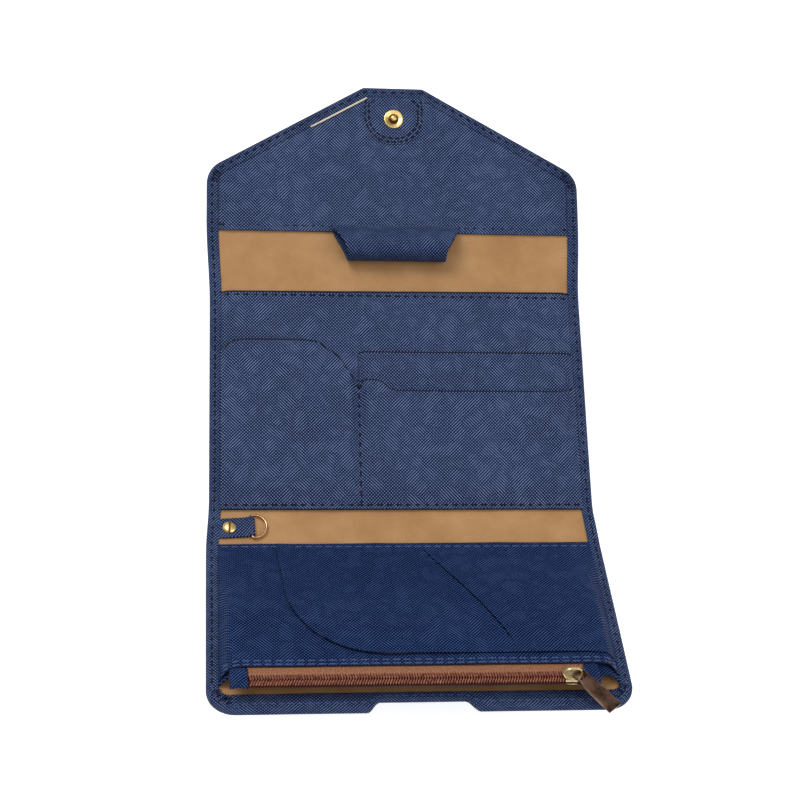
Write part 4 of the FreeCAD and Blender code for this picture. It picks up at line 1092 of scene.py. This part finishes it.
stitch = {"long": 3.0, "wide": 0.58, "tall": 0.42, "pitch": 3.9}
stitchShape = capsule("stitch shape", stitch["long"], stitch["wide"], stitch["tall"], 8, 0.04)
shortShape = capsule("short stitch shape", 2.3, 0.85, 0.46, 8, 0.04)
slimShape = capsule("slim stitch shape", 2.1, 0.5, 0.36, 8, 0.04)
foldShadeShape = capsule("fold shape", 3.6, 0.36, 0.34, 6, 0.05)
hemTop = level + 0.6


def hemLines(start, stop, kinds=("side", "shoulder", "diagonal", "tip")):
    inset = hem["stitchInset"]
    found = []
    for side in (1, -1):
        line = []
        for station in stations:
            p = sidePoint(station, inset)
            if start <= p.y <= stop and station[0] in kinds:
                line.append((p.x * side, p.y, hemTop + pleatAt(station) * 0.8))
        found.append(line if len(line) > 1 else None)
    if "side" in kinds and start <= bottomEdge:
        return [wrapped(np.array(line)) for line in found if line]
    low = sidePoint(stations[0], inset + 0.9)
    high = sidePoint(stations[-1], inset)
    for p in (low, high):
        if start <= p.y <= stop:
            height = hemTop + (0.16 if p.y < 0 else 0.02)
            found.append([(x, p.y, height) for x in np.linspace(p.x, -p.x, 60)])
    return [wrapped(np.array(line)) for line in found if line]


for name, start, stop, crease in (
        ("hem_stitches_front", -far, spineSplit, "front_fold"),
        ("hem_stitches_lower", spineSplit, backSplit, "lower_fold"),
        ("hem_stitches_upper", backSplit, penSplit, "upper_fold"),
        ("hem_stitches_flap", penSplit, far, "flap_fold")):
    stitched(name, hemLines(start, stop), shortShape, darkThread, stitch["pitch"], crease=crease)
stitched("hem_stitches_free_edge", hemLines(-far, spineSplit, ("bottom",)), slimShape, blueThread, 3.3,
         body="front")


def cornerFoldShade(kind, inset, first, last):  # dark slivers of painted shade along the folds where the hem gathers round a corner
    found = []
    for side in (1, -1):
        line = []
        for station in stations:
            if station[0] == kind and first <= station[1] <= last:
                p = sidePoint(station, inset)
                line.append((p.x * side, p.y, level + 0.72 + pleatAt(station)))
        found.append(wrapped(np.array(line)))
    return found


stitched("corner_folds_front", cornerFoldShade("bottom", 3.9, 0.2, 0.9), foldShadeShape, foldShadow, 1.35,
         math.pi / 2, 0.25, body="front")
stitched("corner_folds_flap", cornerFoldShade("shoulder", 3.1, 0.1, 0.9), foldShadeShape, foldShadow, 1.5,
         math.pi / 2, 0.25, body="flap")


def acrossLine(low, high, s, height):
    xs = np.linspace(low, high, 80)
    return np.stack([xs, np.full_like(xs, s), height(xs, np.full_like(xs, s))], -1)


def backTop(layer, top, seams, slack):
    return lambda x, s: pocketHeight(layer, x, s, top, seams, slack) + 0.05


def backStitches():
    lines = [acrossLine(-72.5, 72.5, 45.4, backTop(0, 47.5, ends, 0.9))]
    lines.append(acrossLine(-73, 73, -46.2, lambda x, s: np.full_like(x, level + 1.58)))
    low = np.linspace(-45.5, 4.6, 40)
    divide = ends + [(pockets["divider"], 4.0)]
    xs = np.full_like(low, pockets["divider"])
    lines.append(np.stack([xs, low, pocketHeight(2, xs, low, 24.5, divide, 0.0) + 0.05], -1))
    return lines


stitched("card_pocket_stitches", backStitches(), shortShape, darkThread, stitch["pitch"], body="back")


def frontTop(offset, low, high):
    return lambda x, s: swell(frontCrease - s, x, low, high, zipped["run"]) + offset


def frontStitches():
    lines = [acrossLine(-72.5, slipLeftAt(2) - 0.6, frontCrease - 1.1, frontTop(0.04, level + 1.0, 11.4)),
             acrossLine(slipLeftAt(2) + 1, 72.5, frontCrease - 1.8, frontTop(0.05, level + 1.5, 12.4))]
    for back in (0.85, 2.55):
        xs = np.linspace(-72.5, 72.5, 110)
        u = mouthEdge(xs) - back
        height = swell(u, xs, level + 1.0, zipped["mouthTop"], zipped["run"]) + drift(xs, u, 6.1, 34, 0.12)
        lines.append(np.stack([xs, frontCrease - u, height], -1))
    return lines


stitched("zip_pocket_stitches", frontStitches(), stitchShape, blueThread, stitch["pitch"], body="front")


def flapStitches():
    s = flapCrease + flapInner["start"] + 2.4
    return [acrossLine(-73.5, 73.5, s, lambda x, s: flapInner["top"] - 0.04 + drift(x, s, 3.8, 42, 0.09))]


stitched("flap_panel_stitches", flapStitches(), shortShape, darkThread, stitch["pitch"], body="flap")


def patchStitches():
    found = []
    for inset in (1.1, 2.7):
        low = snapPlace["s"] - snapPlace["deep"] + inset
        steps = [low + (tipEdge - 6.5 - low) * (1 - math.cos(a)) for a in np.linspace(0, math.pi / 2, 44)]
        left = [(-patchHalfAt(s, inset), s) for s in reversed(steps)]
        right = [(patchHalfAt(s, inset), s) for s in steps]
        path = np.array(left + right)
        x, s = path[:, 0], path[:, 1]
        found.append(np.stack([x, s, snapPlace["top"] + 0.34 + drift(x, s, 3.8, 42, 0.09)], -1))
    return found


stitched("snap_patch_stitches", patchStitches(), shortShape, darkThread, 2.8, 0.0, 0.05, body="flap")


def bartack():  # short tight row that strengthens the card slot's corner
    line = [(x, 7.0 - 2.4, level + 2.9) for x in np.linspace(-17.2, -12.8, 5)]
    return [np.array(line)]


stitched("pocket_bartack", bartack(), shortShape, darkThread, 1.6, body="back")

# zip coil

coil = {"pitch": 1.02, "long": 2.6, "wide": 0.72, "tall": 1.2, "lean": 0.42}
toothShape = capsule("tooth shape", coil["long"], coil["wide"], coil["tall"], 8, 0.12)
cordShape = capsule("coil thread shape", 1.6, 0.5, 0.4, 6)


def coilLine(u, height, shift=0.0):
    xs = np.linspace(-zipped["zipHalf"] + shift, zipped["zipHalf"], 3)
    return [[(x, frontCrease - u, height) for x in xs]]


coilMiddle = zipped["tapeTop"] + 0.62
for name, u, lean, shift, node in (
        ("zip_coil_near_crease", 73.95, 0.5 * math.pi + coil["lean"] * 0.6, 0.0, "zip_coil_upper"),
        ("zip_coil_near_edge", 76.55, 0.5 * math.pi - coil["lean"], 0.51, "zip_coil_lower")):
    dressed(rowOf(name, coilLine(u, coilMiddle, shift), toothShape, nylon, coil["pitch"], lean, 0.03), nylon,
            body="front", stands=[node])
coilCord = threadYarn("zip coil thread", linear(126, 74, 50), linear(176, 122, 92))
dressed(rowOf("zip_coil_thread", coilLine(72.7, coilMiddle + 0.42), cordShape, coilCord, coil["pitch"], 0.9),
        coilCord, body="front")
print("stitches and zip coil made")

# metal pieces

def axesFrame(xAxis, yAxis, zAxis, origin):
    return Matrix((*zip(xAxis, yAxis, zAxis, origin), (0, 0, 0, 1)))


def bodyFrame(jointName, normal):  # Y on the joint's axis, Z close to normal
    joint = joints[jointName]
    yAxis = Vector(joint["axis"]).normalized()
    xAxis = yAxis.cross(normal).normalized()
    return axesFrame(xAxis, yAxis, xAxis.cross(yAxis), Vector(joint["pos_m"]))


def panelFrame(s, h):  # frame on a panel: X across, Y along s, Z away from the lining
    here, ahead, raised = fold([[0.0, s, h], [0.0, s + 0.5, h], [0.0, s, h + 0.5]])
    zAxis = Vector(raised - here).normalized()
    yAxis = Vector(ahead - here).normalized()
    return axesFrame(yAxis.cross(zAxis).normalized(), yAxis, zAxis, Vector(here))


def normalAt(s):  # away from the lining, on the middle line
    return (Vector(fold([[0, s, 3]])[0]) - Vector(fold([[0, s, 2]])[0])).normalized()


def fromWork(name, work, placed):
    bmesh.ops.recalc_face_normals(work, faces=work.faces)
    mesh = bpy.data.meshes.new(name)
    work.to_mesh(mesh)
    work.free()
    mesh.transform(placed @ Matrix.Scale(metre, 4))
    piece = bpy.data.objects.new(name, mesh)
    bpy.context.scene.collection.objects.link(piece)
    return piece


def turnedPiece(name, outline, placed, sides=56):  # (radius, height) outline turned round Z
    work = bmesh.new()
    rings = []
    for radius, height in outline:
        if radius < 1e-6:
            rings.append([work.verts.new((0, 0, height))])
        else:
            rings.append([work.verts.new((radius * math.cos(2 * math.pi * k / sides),
                                          radius * math.sin(2 * math.pi * k / sides), height))
                          for k in range(sides)])
    for one, two in zip(rings, rings[1:]):
        for k in range(sides):
            m = (k + 1) % sides
            corners = [one[k % len(one)], one[m % len(one)], two[m % len(two)], two[k % len(two)]]
            unique = []
            for corner in corners:
                if corner not in unique:
                    unique.append(corner)
            if len(unique) > 2:
                work.faces.new(unique)
    return fromWork(name, work, placed)


def softEdges(piece, width, steps=3, angle=35):
    edge = piece.modifiers.new("edges", "BEVEL")
    edge.width = width * metre
    edge.segments = steps
    edge.limit_method = "ANGLE"
    edge.angle_limit = math.radians(angle)
    return smoothed(settled(piece), 45)


def slab(work, corners, low, high):  # upright slab on an outline of (x, y)
    lower = [work.verts.new((x, y, low)) for x, y in corners]
    upper = [work.verts.new((x, y, high)) for x, y in corners]
    work.faces.new(list(reversed(lower)))
    work.faces.new(upper)
    count = len(corners)
    for k in range(count):
        m = (k + 1) % count
        work.faces.new((lower[k], lower[m], upper[m], upper[k]))


def cutWith(piece, tool):
    cut = piece.modifiers.new("cut", "BOOLEAN")
    cut.operation = "DIFFERENCE"
    cut.object = tool
    cut.solver = "EXACT"
    settled(piece)
    bpy.data.objects.remove(tool)
    return piece


snap = {"dish": 4.2, "hole": 2.1}
snapTop = snapPlace["top"] + 0.3
studPlace = panelFrame(snapPlace["s"], snapTop)
studOutline = [(0, 0), (snap["dish"], 0), (snap["dish"] + 0.08, 0.2), (snap["dish"], 0.46),
               (snap["dish"] - 0.3, 0.62), (snap["dish"] - 0.6, 0.56), (3.0, 0.4), (2.3, 0.3), (1.95, 0.14),
               (1.6, 0.2), (1.3, 0.7), (1.36, 1.3), (1.28, 1.6), (0.95, 1.86), (0.5, 1.98), (0, 2.0)]
studDish = dressed(smoothed(turnedPiece("snap_stud_dish", studOutline, studPlace), 60), gold,
                   body="flap", stands=["snap_stud"])
studDish.data.materials.append(shadedGold)
for face in studDish.data.polygons:  # painted shade in the groove round the post
    place = studPlace.inverted() @ face.center / metre
    if 1.25 < math.hypot(place.x, place.y) < 2.5 and place.z < 1.2:
        face.material_index = 1
capOutline = [(0, -1.2), (2.2, -1.15), (4.0, -0.95), (5.2, -0.68), (5.8, -0.4), (6.0, -0.1), (5.8, 0.0),
              (1.5, 0.0), (1.5, 3.2), (0, 3.2)]
dressed(smoothed(turnedPiece("snap_cap_dome", capOutline, panelFrame(snapPlace["s"], 0.0)), 40), gold,
        body="flap", stands=["snap_cap"])
socketS = frontCrease - (wallet["upperCrease"] - wallet["lowerCrease"] - (wallet["flapLength"] - 14.6))
socketOutline = [(snap["hole"], 0.0), (snap["hole"], -1.1), (2.4, -1.42), (2.9, -1.5), (4.4, -1.5),
                 (5.0, -1.3), (5.4, -0.8), (5.5, -0.2), (5.4, 0.0), (snap["hole"], 0.0)]
dressed(smoothed(turnedPiece("snap_socket_ring", socketOutline, panelFrame(socketS, 0.0)), 40), gold,
        body="front", stands=["snap_socket"])

ringPlace = bodyFrame("ring_swing", normalAt(wallet["lowerCrease"] - 8))
ringTab = {"long": 12.5, "wide": 8.8, "thick": 1.25, "screwAt": 3.5}


def tabFrame():  # at the tab's sewn end on the lining's top, X towards the ring
    placed = ringPlace.copy()
    shift = ringPlace.to_3x3() @ Vector((-ringTab["long"] * metre, 0, -1.19 * metre))
    placed.translation = ringPlace.translation + shift
    return placed


def ringTabStrap():
    wire = 1.19
    long = ringTab["long"]
    work = bmesh.new()
    upper = [(-1.6, 0.5), (-0.5, 0.72), (0.8, 1.12), (3.0, 1.25), (long - 6, 1.22), (long - 2.6, 1.3),
             (long - 1.2, 1.78)]
    upper += [(long + 1.17 * math.cos(a), wire + 1.17 * math.sin(a)) for a in np.linspace(2.1, -1.57, 16)]
    outline = upper + [(long - 2, 0.03), (-1.6, 0.03)]
    wides = np.linspace(-1, 1, 9)
    rings = []
    for wide in wides:
        reach = ringTab["wide"] / 2 * wide
        belly = 0.16 * (1 - wide ** 2)
        rings.append([work.verts.new((x, reach * (1.0 - 0.02 * x / long), z + (belly if z > 0.9 else 0)))
                      for x, z in outline])
    joinRings(work, rings)
    flatMap = work.loops.layers.uv.new("flat")
    for face in work.faces:
        for loop in face.loops:
            loop[flatMap].uv = (loop.vert.co.x * metre, loop.vert.co.y * metre)
    return softEdges(fromWork("ring_tab_strap", work, tabFrame()), 0.22)


dressed(ringTabStrap(), coverNavy, body="lower_spine", stands=["ring_tab"])


def screwHead():
    seat = Vector((ringTab["screwAt"], 0, ringTab["thick"] + 0.05)) * metre
    placed = tabFrame() @ Matrix.Translation(seat)
    outline = [(0, 0), (2.7, 0), (2.76, 0.18), (2.66, 0.42), (2.3, 0.7), (1.6, 0.95), (0.8, 1.08), (0, 1.12)]
    piece = smoothed(turnedPiece("tab_screw_head", outline, placed, 48), 60)
    work = bmesh.new()
    slab(work, [(-0.45, -4), (0.45, -4), (0.45, 4), (-0.45, 4)], 0.3, 3)
    cutWith(piece, fromWork("slot tool", work, placed @ Matrix.Rotation(math.radians(-6), 4, "Z")))
    piece.data.materials.append(gold)
    piece.data.materials.append(shadedGold)
    for face in piece.data.polygons:  # painted shade in the slot
        place = placed.inverted() @ face.center / metre
        if abs(place.x - 0.1 * place.y) < 0.5 and abs(place.y) < 2.7 and 0.25 < place.z < 0.7:
            face.material_index = 1
    return smoothed(piece, 45)


dressed(screwHead(), gold, body="lower_spine", stands=["tab_screw"])


def ringWire():
    reach = 5.15
    bend = 0.8
    path = [(0, y) for y in np.linspace(-reach + bend, reach - bend, 8)]
    path += [(bend - bend * math.cos(a), reach - bend + bend * math.sin(a))
             for a in np.linspace(0.2, 1.57, 6)]
    path += [(bend + reach * math.cos(a), reach * math.sin(a)) for a in np.linspace(1.47, -1.47, 40)]
    path += [(bend - bend * math.sin(a), -reach + bend - bend * math.cos(a))
             for a in np.linspace(0.0, 1.37, 6)]
    work = bmesh.new()
    rings = []
    count = len(path)
    for k, (x, y) in enumerate(path):
        before, after = path[k - 1], path[(k + 1) % count]
        ahead = Vector((after[0] - before[0], after[1] - before[1], 0)).normalized()
        side = Vector((ahead.y, -ahead.x, 0))
        rings.append([work.verts.new(Vector((x, y, 0)) + side * 0.5 * math.cos(a)
                                     + Vector((0, 0, 0.5 * math.sin(a))))
                      for a in np.linspace(0, 2 * math.pi, 15)[:-1]])
    joinRings(work, rings, closed=True)
    return smoothed(fromWork("d_ring_wire", work, ringPlace), 60)


dressed(ringWire(), roseGold, body="ring", stands=["d_ring"])
print("snap and ring made")

# zip slider and pull

sliderPlace = panelFrame(frontCrease - 75.2, zipped["coilTop"])
sliderPlace.translation.x = joints["pull_swing"]["pos_m"][0] - 1.4 * metre
brass = metal("slider brass", linear(150, 128, 98), linear(226, 204, 158), 0.24, 0.003)


def ovalOutline(long, wide):  # an oval with fuller corners
    power, count = 2.6, 40
    found = []
    for k in range(count):
        a = 2 * math.pi * k / count
        c, s = math.cos(a), math.sin(a)
        found.append((math.copysign(abs(c) ** (2 / power), c) * long / 2,
                      math.copysign(abs(s) ** (2 / power), s) * wide / 2))
    return found


def sliderBody():
    work = bmesh.new()
    slab(work, ovalOutline(7.6, 5.9), 0.3, 1.0)
    slab(work, ovalOutline(7.2, 5.2), -2.9, -2.3)
    for side in (-1, 1):  # turned-down flanges of the top plate
        slab(work, [(-3.0, side * 2.9 - 0.25), (2.2, side * 2.9 - 0.25), (2.2, side * 2.9 + 0.25),
                    (-3.0, side * 2.9 + 0.25)], -0.7, 0.6)
    slab(work, [(2.2, -0.35), (3.3, -0.35), (3.3, 0.35), (2.2, 0.35)], -2.6, 0.6)
    return softEdges(fromWork("zip_slider_body", work, sliderPlace), 0.24)


def sliderBridge():
    work = bmesh.new()
    arch = [(-3.35, 0.9), (-3.2, 2.0), (-2.4, 2.95), (-1.0, 3.38), (0.6, 3.46), (2.0, 3.3), (3.0, 2.7),
            (3.4, 1.9), (3.45, 0.9)]
    rings = []
    for k, (x, z) in enumerate(arch):
        before, after = arch[max(k - 1, 0)], arch[min(k + 1, len(arch) - 1)]
        ahead = Vector((after[0] - before[0], 0, after[1] - before[1])).normalized()
        out = Vector((-ahead.z, 0, ahead.x))
        wide = 0.95 + 0.1 * math.sin(math.pi * k / (len(arch) - 1))
        ring = []
        for a in np.linspace(0, 2 * math.pi, 13)[:-1]:
            ring.append(work.verts.new(Vector((x, 0, z)) + out * 0.32 * math.sin(a)
                                       + Vector((0, wide / 2 * math.cos(a), 0))))
        rings.append(ring)
    joinRings(work, rings)
    return smoothed(fromWork("zip_slider_bridge", work, sliderPlace), 60)


dressed(sliderBody(), brass, body="slider", stands=["zip_slider"])
dressed(sliderBridge(), brass, body="slider", stands=["slider_bridge"])

pull = {"droop": 8.0, "long": 20.0, "wide": 6.2, "thick": 1.25, "eyeHalf": 2.05}
droopTurn = Matrix.Rotation(math.radians(pull["droop"]), 4, "Y")
pullPlace = bodyFrame("pull_swing", normalAt(frontCrease - 60)) @ droopTurn


def zipPull():
    work = bmesh.new()
    head = pull["eyeHalf"] + 0.55
    wide = pull["wide"] / 2
    thick = pull["thick"] / 2
    outline = [(-0.3, -head + 0.7), (0.3, -head), (4.3, -head), (5.4, -wide + 0.1), (6.0, -wide),
               (pull["long"], -wide), (pull["long"], wide), (6.0, wide), (5.4, wide - 0.1), (4.3, head),
               (0.3, head), (-0.3, head - 0.7)]
    slab(work, outline, -thick, thick)
    piece = fromWork("zip_pull_bar", work, pullPlace)
    window = bmesh.new()
    slab(window, [(0.45, -1.5), (0.9, -pull["eyeHalf"]), (3.6, -pull["eyeHalf"]), (4.0, -1.4), (4.0, 1.4),
                  (3.6, pull["eyeHalf"]), (0.9, pull["eyeHalf"]), (0.45, 1.5)], -3, 3)
    cutWith(piece, fromWork("eye tool", window, pullPlace))
    return softEdges(piece, 0.26, 3, 50)


dressed(zipPull(), bronze, body="pull", stands=["zip_pull"])
print("zip slider and pull made")

# inner pieces that keep their own mesh

for node, material in (("back_board", boardGrey), ("flap_board", boardGrey),
                       ("stiffener_lower", feltWhite), ("stiffener_upper", feltWhite),
                       ("tab_screw_post", gold), ("snap_socket_post", gold)):
    mesh = frame["nodes"][node].data
    mesh.materials.clear()
    mesh.materials.append(material)

for shape in (stitchShape, shortShape, slimShape, foldShadeShape, toothShape, cordShape):
    bpy.data.objects.remove(shape)

# floor, lights and camera

studio = {"floor": 30.0, "key": 19.0, "fill": 8.0, "back": 7.0, "sky": 0.42}


def makeFloor():
    bpy.ops.mesh.primitive_plane_add(size=studio["floor"], location=(0, 0, -0.0016))
    floor = bpy.context.object
    floor.name = "floor"
    recipe = Recipe("pale floor")
    recipe.finish({"Base Color": (0.93, 0.93, 0.93, 1), "Roughness": 0.9, "Specular IOR Level": 0.1,
                   "Emission Color": (1, 1, 1, 1), "Emission Strength": 0.6})
    floor.data.materials.append(recipe.material)


def areaLight(name, place, aim, size, power):
    light = bpy.data.lights.new(name, "AREA")
    light.size = size
    light.energy = power
    lamp = bpy.data.objects.new(name, light)
    lamp.location = place
    lamp.rotation_mode = "QUATERNION"
    lamp.rotation_quaternion = (Vector(aim) - Vector(place)).to_track_quat("-Z", "Y")
    bpy.context.scene.collection.objects.link(lamp)


makeFloor()
areaLight("key light", (-0.7, 0.9, 1.5), (0, 0, 0), 0.9, studio["key"])
areaLight("fill light", (1.1, -0.5, 1.3), (0, 0, 0), 1.4, studio["fill"])
areaLight("top light", (0.1, -0.2, 1.9), (0, 0, 0), 1.6, studio["back"])
world = bpy.data.worlds.new("pale room")
world.use_nodes = True
world.node_tree.nodes["Background"].inputs[0].default_value = (1, 1, 1, 1)
world.node_tree.nodes["Background"].inputs[1].default_value = studio["sky"]
bpy.context.scene.world = world
bpy.context.scene.view_settings.view_transform = "Standard"

shot = {"target": (0.41, 0.32, 0.0), "elevation": 70.66, "turn": 20.5, "roll": -1.84, "distance": 725.7,
        "lens": 77.7015, "sensor": 36.0}


def makeCamera():
    e = math.radians(shot["elevation"])
    a = math.radians(shot["turn"])
    back = Vector((-math.sin(a) * math.cos(e), -math.cos(a) * math.cos(e), math.sin(e)))
    right = Vector((0, 1, 0)).cross(back).normalized()
    if right.x < 0:
        right = -right
    up = back.cross(right)
    r = math.radians(shot["roll"])
    turnedRight = right * math.cos(r) + up * math.sin(r)
    turnedUp = up * math.cos(r) - right * math.sin(r)
    data = bpy.data.cameras.new("camera")
    data.sensor_width = shot["sensor"]
    data.lens = shot["lens"]
    data.clip_start = 0.05
    data.clip_end = 20
    camera = bpy.data.objects.new("camera", data)
    place = (Vector(shot["target"]) + back * shot["distance"]) * metre
    camera.matrix_world = axesFrame(turnedRight, turnedUp, back, place)
    bpy.context.scene.collection.objects.link(camera)
    bpy.context.scene.camera = camera


makeCamera()
bpy.context.view_layer.update()
print("finished")
